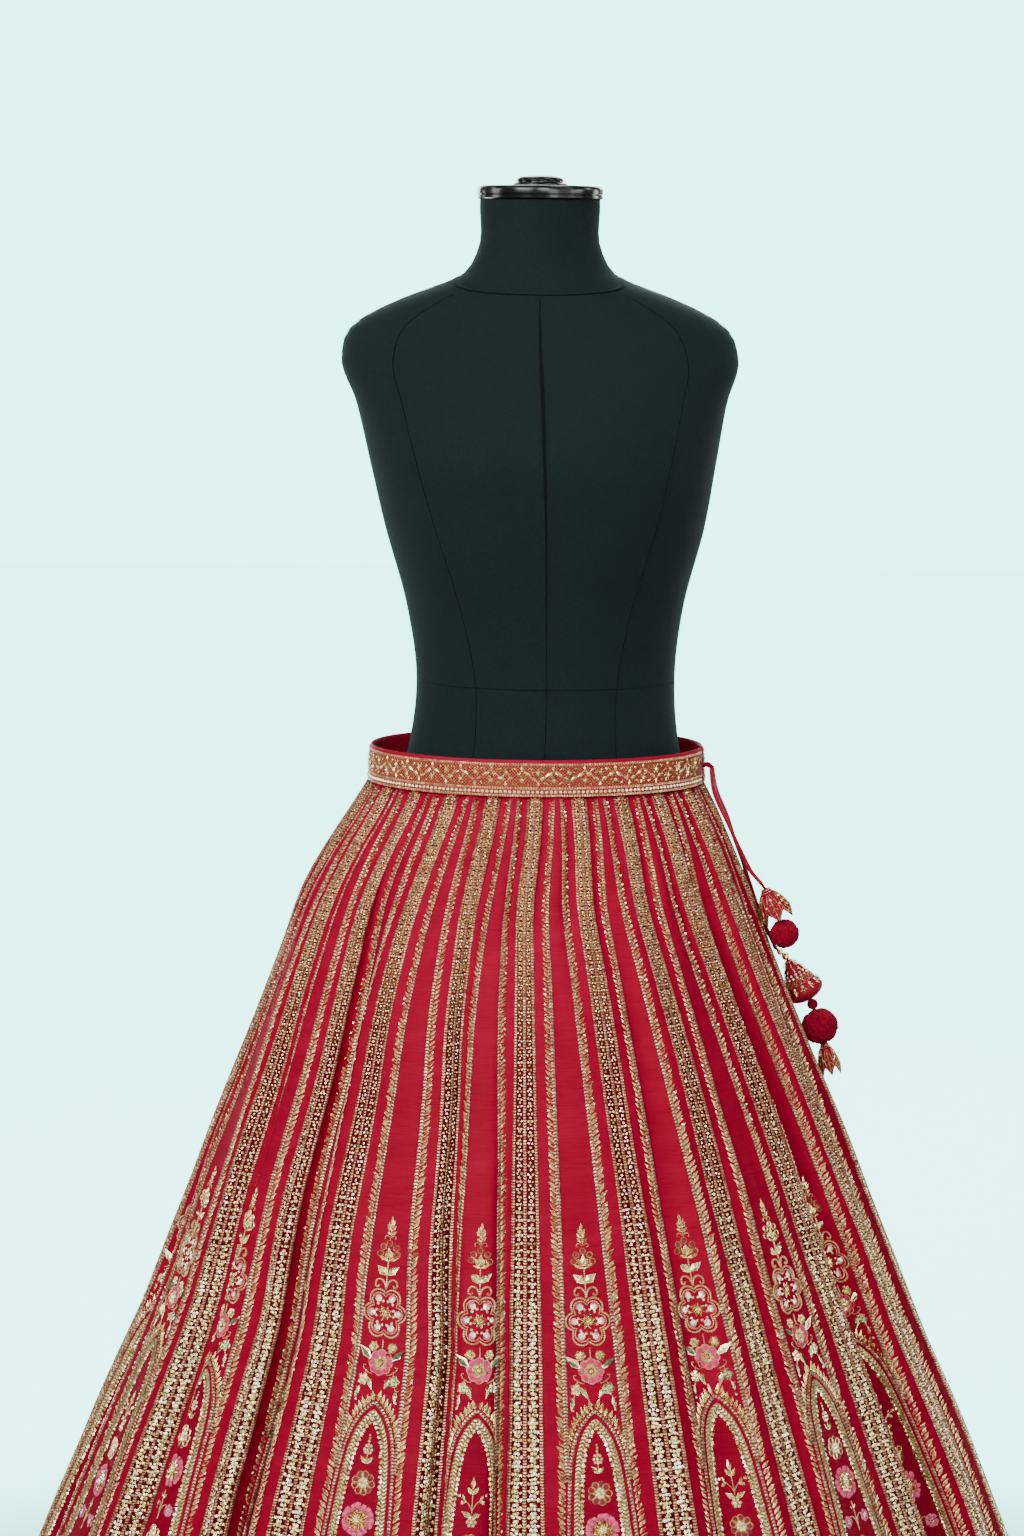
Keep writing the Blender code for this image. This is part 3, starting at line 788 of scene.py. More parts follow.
# --- Laid stitches ----------------------------------------------------------------------------
# Hand embroidery: faceted sequins and beads, leaves, petals and loops padded and covered with
# gilt or silk thread, and cut locks. Each is placed on the flat cut and follows the cloth.
SEQUIN, LEAF, PETAL, LOOP, LOCK = range(5)
KINDS = ("stitch_0_sequin", "stitch_1_leaf", "stitch_2_petal", "stitch_3_loop", "stitch_4_lock")

ROSE = (0.66, 0.045, 0.13)
ROSE_LIGHT = (0.86, 0.13, 0.26)
LILAC = (0.70, 0.24, 0.42)
LEAF_GREEN = (0.085, 0.155, 0.075)
LEAF_PALE = (0.30, 0.40, 0.22)
MAROON = (0.17, 0.0016, 0.0100)

# What a kind is worked in when nothing else is said: its dye, its core and its metal.
USUAL = {SEQUIN: (WHITE_GOLD, None, 1.0), LEAF: (PALE_GOLD, GREEN_GOLD, 0.9),
         LOOP: (PALE_GOLD, None, 0.7)}


def add_stitch(shapes, kind, points, faces, hearts):
    """Hearts say how much of its core each point shows."""
    mesh = bpy.data.meshes.new(KINDS[kind])
    mesh.from_pydata(points, [], faces)
    mesh.attributes.new("heart", "FLOAT", "POINT").data.foreach_set("value", hearts)
    shapes.objects.link(bpy.data.objects.new(KINDS[kind], mesh))


def stitch_shapes():
    """Low mounds over a rim, for sequins, leaves and petals; a ring; and a lock of cut thread."""
    shapes = bpy.data.collections.new("stitch_shapes")
    for kind, rim, crown in (
        (SEQUIN, [(0.52 * cos(2 * pi * k / 5), 0.52 * sin(2 * pi * k / 5)) for k in range(5)], 0.0),
        (LEAF, [(0.0, -0.14), (0.42, -0.46), (1.0, 0.0), (0.42, 0.46), (0.0, 0.14)], 0.40),
        (PETAL, [(0.0, 0.0), (0.42, -0.42), (0.86, -0.46), (1.0, 0.0), (0.86, 0.46), (0.42, 0.42)], 0.62),
    ):
        many = len(rim)
        points = [(x, y, 0.0) for x, y in rim] + [(crown, 0.0, 1.0)]
        faces = [(k, (k + 1) % many, many) for k in range(many)] + [tuple(range(many))[::-1]]
        add_stitch(shapes, kind, points, faces, [0] * many + [1])
    sides, points, faces = 8, [], []
    for k in range(sides):
        turn = 2 * pi * k / sides
        for j, (radius, rise) in enumerate(((0.5, 0.0), (0.42, 1.0), (0.34, 0.0))):
            points.append((0.5 + radius * cos(turn), radius * sin(turn), rise))
            a, b = k * 3 + j, k * 3 + (j + 1) % 3
            faces.append((a, (a + 3) % (3 * sides), (b + 3) % (3 * sides), b))
    add_stitch(shapes, LOOP, points, faces, [0, 1, 0] * sides)
    sides, lock = 9, ((0.0, 0.24), (0.4, 0.36), (0.78, 0.50), (0.93, 0.44), (1.0, 0.20))
    points, hearts = [], []
    for z, radius in lock:
        for k in range(sides):
            turn = 2 * pi * k / sides
            points.append((radius * cos(turn), radius * sin(turn), z * (1 + 0.05 * (k % 3))))
            hearts.append(z)
    add_stitch(shapes, LOCK, points, tube_faces(len(lock), sides), hearts)
    return shapes


def stitching_tree():
    """Stands the picked stitch on each point, turned to the cloth there and a little uneven."""
    tree = bpy.data.node_groups.new("laid_stitches", "GeometryNodeTree")
    for name, way, kind in (("Points", "INPUT", "Geometry"), ("Stitches", "INPUT", "Collection"),
                            ("Finish", "INPUT", "Material"), ("Unevenness", "INPUT", "Float"),
                            ("Seed", "INPUT", "Int"), ("Embroidery", "OUTPUT", "Geometry")):
        tree.interface.new_socket(name, in_out=way, socket_type="NodeSocket" + kind)
    node = Nodes(tree).node

    def attribute(name, kind="FLOAT_VECTOR"):
        return node("GeometryNodeInputNamedAttribute", {"data_type": kind}, {"Name": name}, "Attribute")

    given = node("NodeGroupInput")
    shapes = node("GeometryNodeCollectionInfo", {},
                  {"Collection": given.other("Stitches"), "Separate Children": True,
                   "Reset Children": True})
    facing = node("FunctionNodeAxesToRotation", {"primary_axis": "Z", "secondary_axis": "X"},
                  {"Primary Axis": attribute("out"), "Secondary Axis": attribute("run")})
    least, most = (
        node("ShaderNodeVectorMath", {"operation": "SCALE"},
             {"Vector": (way, way, way), "Scale": given.other("Unevenness")})
        for way in (-1.0, 1.0)
    )
    shake = node("FunctionNodeRandomValue", {"data_type": "FLOAT_VECTOR"},
                 {"Seed": given.other("Seed"), "Min": least, "Max": most})
    turned = node("FunctionNodeRotateRotation", {"rotation_space": "LOCAL"},
                  {"Rotation": facing, "Rotate By": shake})
    stood = node("GeometryNodeInstanceOnPoints", {},
                 {"Points": given.other("Points"), "Instance": shapes, "Pick Instance": True,
                  "Instance Index": attribute("kind", "INT"), "Rotation": turned,
                  "Scale": attribute("size")})
    real = node("GeometryNodeRealizeInstances", {}, {"Geometry": stood})
    dressed = node("GeometryNodeSetMaterial", {}, {"Geometry": real, "Material": given.other("Finish")})
    node("NodeGroupOutput", {}, {"Embroidery": dressed})
    return tree


def thread_and_metal():
    """Gilt wire, sequins and silk floss: each stitch carries its own dye, core and metal."""
    look = Finish("thread_and_metal")
    dye, core, heart, metal = (
        look.node("ShaderNodeAttribute", {"attribute_name": name}, {}, output)
        for name, output in (("dye", "Color"), ("core", "Color"), ("heart", "Fac"), ("metal", "Fac"))
    )
    wear = look.noise(look.object_place(), 300.0)
    colour = look.mix(dye, core, heart.between(0.10, 0.36))
    worn = look.mix(colour, (0.34, 0.22, 0.12), 1.0, "MULTIPLY")
    return look.surface(
        Base_Color=look.mix(colour, worn, wear.between(0.62, 0.35) * 0.5),
        Metallic=metal * 0.95,
        Roughness=0.40 - 0.26 * metal + 0.08 * wear,
        Normal=look.bump(look.noise(look.object_place(), 1400.0, 1.0), 0.0002),
        Specular_IOR_Level=0.25,
    )


class Stitching:
    """Stitches placed on the flat cut, gathered into one piece by the tree."""

    CARRIED = {"out": "FLOAT_VECTOR", "run": "FLOAT_VECTOR", "size": "FLOAT_VECTOR", "dye": "FLOAT_VECTOR",
               "core": "FLOAT_VECTOR", "metal": "FLOAT", "kind": "INT"}

    def __init__(self, cloth=laid):
        self.cloth, self.parts = cloth, []

    def sew(self, kind, place, slant, angle, length, width, height, dye=None, core=None, metal=0.9,
            lift=0.0002):
        """Angles are on the flat cut: 0 runs across towards the wearer's left, and 90 degrees down."""
        if dye is None:
            dye, core, metal = USUAL[kind]
        place, slant, angle = np.broadcast_arrays(np.atleast_1d(np.asarray(place, float)), slant, angle)
        points, out, across, down = self.cloth(place, slant)
        run = across * np.cos(angle)[:, None] + down * np.sin(angle)[:, None]
        count = len(place)
        size = np.stack([np.broadcast_to(v, count) for v in (length, width, height)], axis=-1)
        core = dye if core is None else core
        self.parts.append((
            points + out * np.broadcast_to(lift, count)[:, None], out, run, size,
            np.broadcast_to(dye, (count, 3)), np.broadcast_to(core, (count, 3)),
            np.broadcast_to(metal, count), np.full(count, kind),
        ))

    def piece(self, name, uneven=0.10, seed=1, slot="embroidered_silk", look=None, nodes=()):
        points, *carried = (np.concatenate(part) for part in zip(*self.parts))
        mesh = bpy.data.meshes.new(name + "_points")
        mesh.vertices.add(len(points))
        mesh.vertices.foreach_set("co", points.astype(np.float32).ravel())
        for (label, data), values in zip(self.CARRIED.items(), carried):
            layer = mesh.attributes.new(label, data, "POINT").data
            values = values.astype(np.int32 if data == "INT" else np.float32)
            layer.foreach_set("vector" if values.ndim > 1 else "value", values.ravel())
        holder = bpy.data.objects.new(name + "_points", mesh)
        bpy.context.scene.collection.objects.link(holder)
        sewn = holder.modifiers.new("embroidery", "NODES")
        sewn.node_group = stitch_tree
        given = {"Stitches": stitch_kinds, "Finish": look or stitch_finish, "Unevenness": uneven, "Seed": seed}
        for socket in stitch_tree.interface.items_tree:
            if socket.name in given:
                sewn[socket.identifier] = given[socket.name]
        graph = bpy.context.evaluated_depsgraph_get()
        finished = bpy.data.meshes.new_from_object(
            holder.evaluated_get(graph), preserve_all_data_layers=True, depsgraph=graph)
        finished.name = name
        holder.modifiers.remove(sewn)
        bpy.data.objects.remove(holder)
        made = bpy.data.objects.new(name, finished)
        bpy.context.scene.collection.objects.link(made)
        return stand_for(made, slot, *nodes)


stitch_kinds = stitch_shapes()
stitch_tree = stitching_tree()
stitch_finish = thread_and_metal()


def paced(start, end, pitch_at):
    """Slants from start to end, each one pitch beyond the last."""
    found = [start]
    while found[-1] < end:
        found.append(found[-1] + pitch_at(found[-1]))
    return np.array(found[:-1])


def rows_along(x, y, start, pitch):
    """Points at this pitch along a line, and the share of the line before each."""
    lengths = distances(np.stack([x, y], axis=1))
    reads = np.arange(start, lengths[-1], pitch)
    return np.interp(reads, lengths, x), np.interp(reads, lengths, y), reads / lengths[-1]


# Stripes: two columns of close sequins between three chains, staggered row by row. Their random white-gold,
# pale and darker gold dyes are painted glints and shade, for sequins that catch the light or face away.
SEQUIN_ROOM = 0.0029
stripe_rows = paced(0.004, work_end - 0.003, lambda slant: 0.0030 + 0.0007 * min(slant, 0.6) / 0.6)
row_chain = chain_width(stripe_rows)
row_room = stripe_width(stripe_rows) / 2 - 1.5 * row_chain
wide_row = np.arange(len(stripe_rows)) % 2 == 0
row_count = np.where(wide_row, np.maximum(np.round(row_room / SEQUIN_ROOM), 2), 1 + (row_room > 0.0085))
row_span = np.where(wide_row, 0.98, 0.50) * row_room
row_size = np.minimum(row_room / 2.6, 0.0036) * np.where(wide_row, 1.0, 1.12)
chance = np.random.default_rng(31)
for name, stripes in (("front", (18, 19, 20, 21, 0, 1, 2, 3)), ("left", range(4, 11)),
                      ("right", range(11, 18))):
    stripe_stitches = Stitching()
    for stripe in stripes:
        for side in (-1, 1):
            for k in range(int(row_count.max())):
                shown = row_count > k
                rows, many = stripe_rows[shown], int(shown.sum())
                offset = ((k + 0.5) / row_count[shown] - 0.5) * row_span[shown]
                offset += chance.normal(0, 0.0002, many) + (row_chain[shown] + row_room[shown]) / 2
                size = row_size[shown] * chance.uniform(0.88, 1.06, many)
                # painted glints and shade: each sequin's dye is white-gold, pale gold or darker gold at random
                picked = chance.random((many, 1))
                glint_dyes = np.where(picked < 0.36, WHITE_GOLD, np.where(picked < 0.68, PALE_GOLD, GREEN_GOLD))
                slant = rows + chance.normal(0, 0.0003, many)
                turn, metal = chance.uniform(0, 1, many), chance.uniform(0.65, 1.0, many)
                place = stripe + side * offset / cut_width(rows)
                stripe_stitches.sew(SEQUIN, place, slant, turn, size, size, size * 0.22, glint_dyes, metal=metal)
    stripe_stitches.piece("stripe_sequins_" + name, 0.36, 3)

# Leaf lines: gilt leaves, tips up and away from the column, with a sequin at about every second tip, picked at
# random. Those sequins' white-gold or darker gold dyes are painted glints, for sequins that catch the light or
# miss it.
leaf_stitches = Stitching()
leaf_slants = paced(0.008, work_end - 0.002, lambda slant: 0.0042 + 0.0016 * min(slant * 1.6, 0.6))
leaf_count, leaf_cut = len(leaf_slants), cut_width(leaf_slants)
leaf_length = 0.0048 + 0.0066 * np.clip(leaf_slants * 1.6, 0, 0.6)
leaf_reach = main_line(leaf_slants) + 0.0012 + 0.0009 * np.clip(leaf_slants * 2, 0, 1)
crown = arch_leg(-0.0012, JUNCTION - 0.006)
crown_rows = (((0.0020, 0.0047), 0.0098, 0.42, GREEN_GOLD), ((0.0010, 0.0040), 0.0052, 0.55, OLD_GOLD))
for axis in np.arange(ARCHES) + 0.5:
    for side in (-1, 1):
        lean = radians(-46) + chance.normal(0, 0.07, leaf_count)
        hearts = np.where(chance.random((leaf_count, 1)) < 0.45, (0.30, 0.085, 0.045), (0.50, 0.36, 0.17))
        leaf_stitches.sew(LEAF, axis + side * leaf_reach / leaf_cut, leaf_slants,
                          lean if side > 0 else pi - lean,
                          leaf_length, leaf_length * 0.44, 0.0014, PALE_GOLD, hearts, metal=0.62)
        tips = chance.random(leaf_count) < 0.5
        place = axis + side * (leaf_reach + leaf_length * 0.50)[tips] / leaf_cut[tips]
        # painted glints: a random half of the tip sequins are white-gold, the rest darker gold
        glint_dyes = np.where(chance.random((int(tips.sum()), 1)) < 0.5, WHITE_GOLD, GREEN_GOLD)
        leaf_stitches.sew(SEQUIN, place, (leaf_slants - leaf_length * 0.42)[tips], 0.0, 0.0026, 0.0026, 0.0009,
                          glint_dyes, metal=1.0, lift=0.0008)
    for pace, long, narrow, core in crown_rows:
        x, y, share = rows_along(*crown, *pace)
        lean, length = radians(-74) + 0.42 * share, long * (1 - 0.18 * share)
        for side in (-1, 1):
            leaf_stitches.sew(LEAF, axis + side * x / cut_width(y), y, lean if side > 0 else pi - lean,
                              length, length * narrow, 0.0013, PALE_GOLD, core)
leaf_stitches.piece("leaf_line_leaves", 0.10, 5)

# Arches: a row of sequins sewn along the inner edge of each braid, and one along the hem. The arch rows mix
# white-gold and darker gold sequins at random: painted glints and shade, for sequins that catch the light or
# face away.
arch_stitches = Stitching()
x, y, _share = rows_along(*arch_leg(0.0124, work_end - ARCH_TIP - 0.010), 0.0, 0.0044)
for axis in np.arange(ARCHES) + 0.5:
    for side in (-1, 1):
        # painted glints and shade: 45 percent of the arch sequins are white-gold, the rest darker gold
        bright = np.where(chance.random((len(x), 1)) < 0.45, WHITE_GOLD, GREEN_GOLD)
        turn = chance.uniform(0, 1, len(x))
        arch_stitches.sew(SEQUIN, axis + side * x / cut_width(y), y, turn, 0.0044, 0.0044, 0.0012, bright,
                          metal=1.0)
hem_reads = np.arange(0, ARCHES, 0.0085 / cut_width(HEM_SLANT))
arch_stitches.sew(SEQUIN, hem_reads, HEM_SLANT - 0.0078, 0.2, 0.0040, 0.0040, 0.0017)
arch_stitches.piece("arch_sequins", 0.28, 7)


# --- Figures ----------------------------------------------------------------------------------
# The figures of each column and arch: buds, lobed flowers, roses, marigolds and sprigs of common
# garden kinds, outlined in gilt cord, filled with silk floss and beads, and lit with sequins.
PLAIN_AXES = np.arange(ARCHES) + 0.5
figure_stitches, figure_cords = Stitching(), Couching()


def lobed_outline(lobes, samples=48, inset=0.0):
    """The outer outline of overlapping round lobes, each (x, y, radius), or a line inside it."""
    turn = 2 * pi * np.arange(samples) / samples
    way = np.stack([np.cos(turn), np.sin(turn)])
    reach = np.zeros(samples)
    for x, y, radius in lobes:
        along = x * way[0] + y * way[1]
        under = radius**2 - (x * x + y * y) + along**2
        reach = np.maximum(reach, np.where(under > 0, along + np.sqrt(np.maximum(under, 0)), 0))
    return (way * (reach - inset)).T


class Figure:
    """Drawn in millimetres across and down from its middle, then sewn wherever it is wanted."""

    def __init__(self):
        self.stitches, self.cords = [], []

    def sew(self, kind, x, y, turn, length, width, height, dye=None, core=None, metal=0.9, lift=0.2):
        """Turns are in degrees: 0 points across to the wearer's left, and 90 points down."""
        places = (np.atleast_1d(np.asarray(values, float)) for values in (x, y, turn, length, width))
        self.stitches.append((kind, np.broadcast_arrays(*places), height, dye, core, metal, lift))

    def pair(self, kind, x, y, turn, *rest, **more):
        self.sew(kind, x, y, turn, *rest, **more)
        self.sew(kind, -np.asarray(x), y, 180 - turn, *rest, **more)

    def spot(self, x, y, size, *rest, **more):
        self.sew(SEQUIN, x, y, 0, size, size, *rest, **more)

    def ring(self, kind, count, radius, *rest, start=0.0, middle=(0.0, 0.0), **more):
        turn = start + 360 * np.arange(count) / count
        x, y = radius * np.cos(np.radians(turn)), radius * np.sin(np.radians(turn))
        self.sew(kind, middle[0] + x, middle[1] + y, turn, *rest, **more)

    def cord(self, points, width=1.2, closed=False, mirrored=False):
        if not closed:
            points = smooth_path(points, lambda length: max(4, int(np.ceil(length / 2.1)) + 1))
        for side in (1, -1)[: 1 + mirrored]:
            self.cords.append((points * np.array([side, 1]), width, closed))

    def upside_down(self):
        made = Figure()
        for kind, (x, y, turn, *size), *rest in self.stitches:
            made.stitches.append((kind, (x, -y, -turn, *size), *rest))
        return made

    def sewn(self, axes, slant, grow=1.0, aside=0.0, onto=None):
        """Sewn at each of these places and this slant, by the stitching and couching given."""
        stitches, cords = onto or (figure_stitches, figure_cords)
        axes = np.atleast_1d(axes)
        for kind, (x, y, turn, *size), height, *worked, lift in self.stitches:
            at = slant + y * grow / 1000
            place = axes[:, None] + (x * grow + aside) / 1000 / cords.width(at)
            laid_out = (at, np.radians(turn), *(measure * grow / 1000 for measure in size))
            laid_out = [np.tile(values, len(axes)) for values in laid_out]
            stitches.sew(kind, place.ravel(), *laid_out, height / 1000, *worked, lift / 1000)
        for line, width, closed in self.cords:
            at = slant + line[:, 1] * grow / 1000
            for axis in axes:
                place = axis + (line[:, 0] * grow + aside) / 1000 / cords.width(at)
                cords.lay(place, at, width * grow / 2000, width * 0.75 / 1000, ONE_CORD, closed)


def blossom(figure, x, y, radius, dye, core, petals=6):
    """A small round flower of beads or floss about a bright sequin."""
    size = radius * 0.80
    figure.ring(SEQUIN, petals, radius * 0.62, size, size, radius * 0.34, dye, core, middle=(x, y), metal=0.8)
    figure.spot(x, y, radius * 0.72, radius * 0.45, lift=0.6)


sprig = Figure()
sprig.cord([(0, 0), (0.2, -7), (0, -15)], 0.9)
sprig.sew(LEAF, 0, -14.0, -90, 7.0, 3.6, 1.2)
for y, turn, long in ((-11.5, -60, 5.6), (-8.0, -50, 6.2), (-4.2, -38, 5.8)):
    sprig.pair(LEAF, 0.5, y, turn, long, long * 0.56, 1.2)
sprig.cord([(0.2, -0.5), (2.8, -3.2), (5.2, -2.4), (5.2, 0.0), (3.8, 0.2)], 1.0, mirrored=True)

bud = Figure()
for x, y in ((-7.7, 1.0), (-5.7, -4.4), (0.0, -7.4), (5.7, -4.4), (7.7, 1.0)):
    turn = np.arctan2(y + 0.6, x)
    bud.spot(x, y, 5.0, 0.4, MAROON, metal=0.0, lift=0.1)
    bud.sew(LOOP, x - 2.8 * cos(turn), y - 2.8 * sin(turn), np.degrees(turn), 6.8, 6.2, 1.0)
bud.sew(LEAF, 0, 4.5, -90, 9.5, 6.5, 1.8)
bud.pair(LEAF, 0.3, 4.8, -52, 8.0, 4.6, 1.5)
bud.spot(0, 0.5, 2.6, 1.3, lift=1.2)
bud.pair(LEAF, 0.4, 7.2, -18, 9.4, 3.8, 1.3)
bud.pair(LEAF, 0.4, 19.8, -40, 12.6, 8.6, 1.6)
bud.pair(SEQUIN, 5.8, 15.2, 0, 3.8, 3.8, 1.5, lift=1.0)
bud.cord([(0, 7), (0, 20), (0, 33.5)], 1.6)
curl = [(0.2, 33.0), (1.2, 28.2), (3.8, 24.6), (7.6, 24.0), (10.2, 27.0), (9.6, 30.8), (7.2, 31.0), (6.8, 28.8)]
bud.cord(curl, 2.2, mirrored=True)

lobed = Figure()
lobes = [(12.2, 0.0, 7.6), (6.3, -12.8, 7.9), (-6.3, -12.8, 7.9),
         (-12.2, 0.0, 7.6), (-6.4, 13.0, 7.9), (6.4, 13.0, 7.9)]
lobed.cord(lobed_outline(lobes), 2.3, closed=True)
lobed.cord(lobed_outline(lobes, inset=3.1), 1.4, closed=True)
for x, y, _radius in lobes:
    turn = np.arctan2(y, x)
    out_x, out_y = cos(turn), sin(turn)
    lobed.spot(x + 0.6 * out_x, y + 0.6 * out_y, 8.4, 0.7, (0.50, 0.030, 0.075), (0.66, 0.17, 0.27), 0.0, 0.1)
    turn, middle = np.degrees(turn), (x - 2.6 * out_x, y - 2.6 * out_y)
    lobed.sew(SEQUIN, x - 0.6 * out_x, y - 0.6 * out_y, turn, 6.2, 6.2, 1.5, WHITE_GOLD, metal=0.7, lift=0.5)
    lobed.ring(SEQUIN, 3, 3.0, 2.8, 2.8, 1.2, PALE_GOLD, WHITE_GOLD, 0.7, 0.3, start=turn + 120, middle=middle)
lobed.ring(LEAF, 8, 2.0, 5.4, 3.0, 1.2, PALE_GOLD, OLD_GOLD, start=22.5)
lobed.spot(0, 0, 4.2, 1.9, lift=0.6)

# The rose, with its buds and green leaves above and a spray of blossom at each side below.
branch = Figure()
lobes = [(7.5 * cos(pi * k / 4), 7.5 * sin(pi * k / 4), 3.9) for k in range(8)]
branch.cord(lobed_outline(lobes), 1.0, closed=True)
branch.ring(PETAL, 8, 3.0, 8.2, 9.4, 1.0, ROSE_LIGHT, ROSE, metal=0.0, lift=0.1)
branch.ring(PETAL, 8, 2.2, 4.4, 4.2, 1.8, PALE_GOLD, GREEN_GOLD, start=22.5, metal=0.6, lift=0.5)
branch.spot(0, 0, 4.0, 2.0, lift=0.9)
branch.cord([(0, -20.8), (0, -11.0)], 1.3)
for side in (-1, 1):
    blossom(branch, side * 8.9, -13.6, 4.9, PALE_GOLD, GREEN_GOLD)
    blossom(branch, side * 14.6, 15.6, 5.6, WHITE_GOLD, PALE_GOLD if side < 0 else LEAF_PALE, 5)
branch.pair(LEAF, 10.0, -2.8, -40, 16.0, 8.0, 0.9, WHITE_GOLD, PALE_GOLD, metal=0.7)
branch.pair(LEAF, 11.2, -3.7, -40, 13.0, 5.2, 1.5, LEAF_GREEN, LEAF_GREEN, metal=0.0, lift=0.5)
branch.pair(SEQUIN, 15.6, -7.4, 0, 2.2, 2.2, 1.2, LEAF_PALE, metal=0.3, lift=1.6)
branch.cord([(7.0, 10.5), (10.4, 10.0), (13.0, 8.0), (15.8, 6.0), (16.2, 3.4), (13.8, 3.2)], 1.1, mirrored=True)
branch.cord([(13.0, 8.0), (14.0, 12.0), (16.0, 20.0), (18.6, 24.4), (20.6, 22.8)], 1.0, mirrored=True)
branch.pair(LEAF, 10.8, 14.0, 117, 13.0, 5.0, 1.3, PALE_GOLD, LEAF_PALE)
branch.pair(LOOP, 9.4, 16.4, 195, 3.6, 3.4, 0.8)
branch.pair(LEAF, 17.6, 23.0, 82, 12.0, 4.6, 1.3, PALE_GOLD, LEAF_PALE)
branch.pair(SEQUIN, 19.2, 34.0, 0, 2.8, 2.8, 1.3, lift=0.6)

small_sprig = Figure()
small_sprig.cord([(0, 14), (0, -8)], 0.9)
sizes = [2.2, 2.6, 2.8, 3.0]
small_sprig.spot([0, 0.2, -0.2, 0], [-11.0, -8.4, -5.6, -2.6], sizes, 1.2, GREEN_GOLD, PALE_GOLD, metal=0.5)
small_sprig.pair(SEQUIN, [2.2, 3.4, 2.4], [-1.6, 1.6, 4.2], 0, 2.9, 2.9, 1.3, PALE_GOLD, WHITE_GOLD, metal=0.5)
small_sprig.spot([0, 0], [1.2, 4.6], 3.4, 1.6, lift=0.4)
small_sprig.pair(LEAF, 0.3, 13.6, -48, 8.6, 4.6, 1.3)

rosette = Figure()
rosette.ring(PETAL, 9, 3.6, 7.0, 6.6, 0.5, MAROON, metal=0.0, lift=0.1)
rosette.ring(LOOP, 9, 3.8, 7.4, 7.2, 0.8)
rosette.ring(SEQUIN, 7, 3.2, 3.2, 3.2, 1.4, PALE_GOLD, WHITE_GOLD, metal=0.5, lift=0.4)
rosette.spot(0, 0, 4.0, 2.2, lift=0.7)

marigold = Figure()
marigold.ring(PETAL, 15, 9.4, 7.0, 7.6, 0.8, ROSE, ROSE_LIGHT, metal=0.0, lift=0.1)
marigold.ring(PETAL, 15, 8.0, 4.8, 5.0, 1.0, ROSE_LIGHT, ROSE, start=12.0, metal=0.0, lift=0.4)
marigold.ring(LEAF, 14, 3.0, 8.6, 3.6, 1.5, PALE_GOLD, OLD_GOLD, lift=0.4)
marigold.ring(SEQUIN, 7, 7.6, 2.6, 2.6, 1.4, lift=0.9)
marigold.ring(SEQUIN, 6, 2.6, 2.6, 2.6, 1.6, PALE_GOLD, WHITE_GOLD, metal=0.5, lift=0.9)
marigold.spot(0, 0, 3.8, 2.2, lift=1.2)

# A stem with two arms that end in round lilac flowers.
arms = Figure()
arms.cord([(0, -17), (0.3, -6), (0, 12)], 1.1)
arms.pair(LEAF, 0.4, -9.0, -50, 5.4, 2.8, 1.1)
arms.cord([(0, 6), (2.6, -1.0), (6.6, -3.6), (10.0, -2.2)], 1.1, mirrored=True)
for side in (-1, 1):
    arms.ring(PETAL, 7, 1.6, 4.6, 4.6, 0.9, LILAC, ROSE_LIGHT, middle=(side * 13.0, 0.5), metal=0.0, lift=0.1)
    arms.ring(SEQUIN, 5, 1.5, 1.7, 1.7, 1.1, PALE_GOLD, WHITE_GOLD, middle=(side * 13.0, 0.5), metal=0.5,
              lift=0.6)

# An upright plant: a top leaf, side sprays with sequins, cupped leaves and a beaded mound.
plant = Figure()
plant.cord([(0, 12), (0, -10)], 1.2)
plant.sew(LEAF, 0, -10, -90, 10.0, 4.8, 1.4)
plant.pair(LEAF, 0.6, -5.0, -58, 8.0, 4.2, 1.3)
plant.cord([(0, 9), (3.0, 4.0), (6.6, 0.4), (9.8, -1.8)], 1.1, mirrored=True)
plant.pair(LEAF, 5.6, 1.2, 8, 5.6, 3.4, 1.2)
plant.pair(LEAF, 7.4, 0.0, -64, 5.0, 3.2, 1.2)
plant.pair(SEQUIN, [12.2, 9.6], [-3.4, 2.6], 0, 3.4, 3.4, 1.6, lift=0.5)
plant.pair(LEAF, 0.4, 15.0, -28, 10.4, 5.4, 1.5)
plant.ring(SEQUIN, 6, 3.4, 3.2, 3.2, 1.5, PALE_GOLD, WHITE_GOLD, middle=(0, 19.0), metal=0.5)
plant.spot(0, 19.0, 3.8, 2.0, lift=0.5)

# A mound of leaves that the lowest figures grow from.
mound = Figure()
for radius, count, long in ((0.0, 9, 15.0), (7.0, 8, 12.0)):
    turn = -170 + 160 * np.arange(count) / (count - 1)
    x, y = radius * np.cos(np.radians(turn)), radius * np.sin(np.radians(turn)) + 6
    mound.sew(LEAF, x, y, turn, long, long * 0.36, 1.3, lift=0.2 + radius * 0.04)
mound.spot(np.linspace(-9, 9, 7), 7.5, 3.2, 1.5, lift=0.4)

for figure, slant in ((sprig, 0.4150), (bud, 0.4268), (lobed, 0.4805), (branch, 0.5240)):
    figure.sewn(PLAIN_AXES, slant)
even_figures = (
    (small_sprig, 0.5990, 1.0), (rosette, 0.6300, 1.0), (marigold, 0.6620, 0.94), (arms, 0.6960, 0.95),
    (rosette, 0.7230, 1.0), (lobed, 0.7620, 0.92), (branch, 0.8060, 1.0), (marigold, 0.8580, 1.1),
    (arms, 0.9000, 1.35), (lobed, 0.9480, 1.25), (mound, 1.0180, 1.7),
)
odd_figures = (
    (plant, 0.6360, 1.0), (rosette, 0.6760, 1.0), (marigold, 0.7080, 1.0), (arms, 0.7440, 1.1),
    (lobed, 0.7900, 1.0), (branch, 0.8360, 1.0), (marigold, 0.8900, 1.15), (arms, 0.9330, 1.4),
    (rosette, 0.9640, 1.4), (mound, 1.0180, 1.7),
)
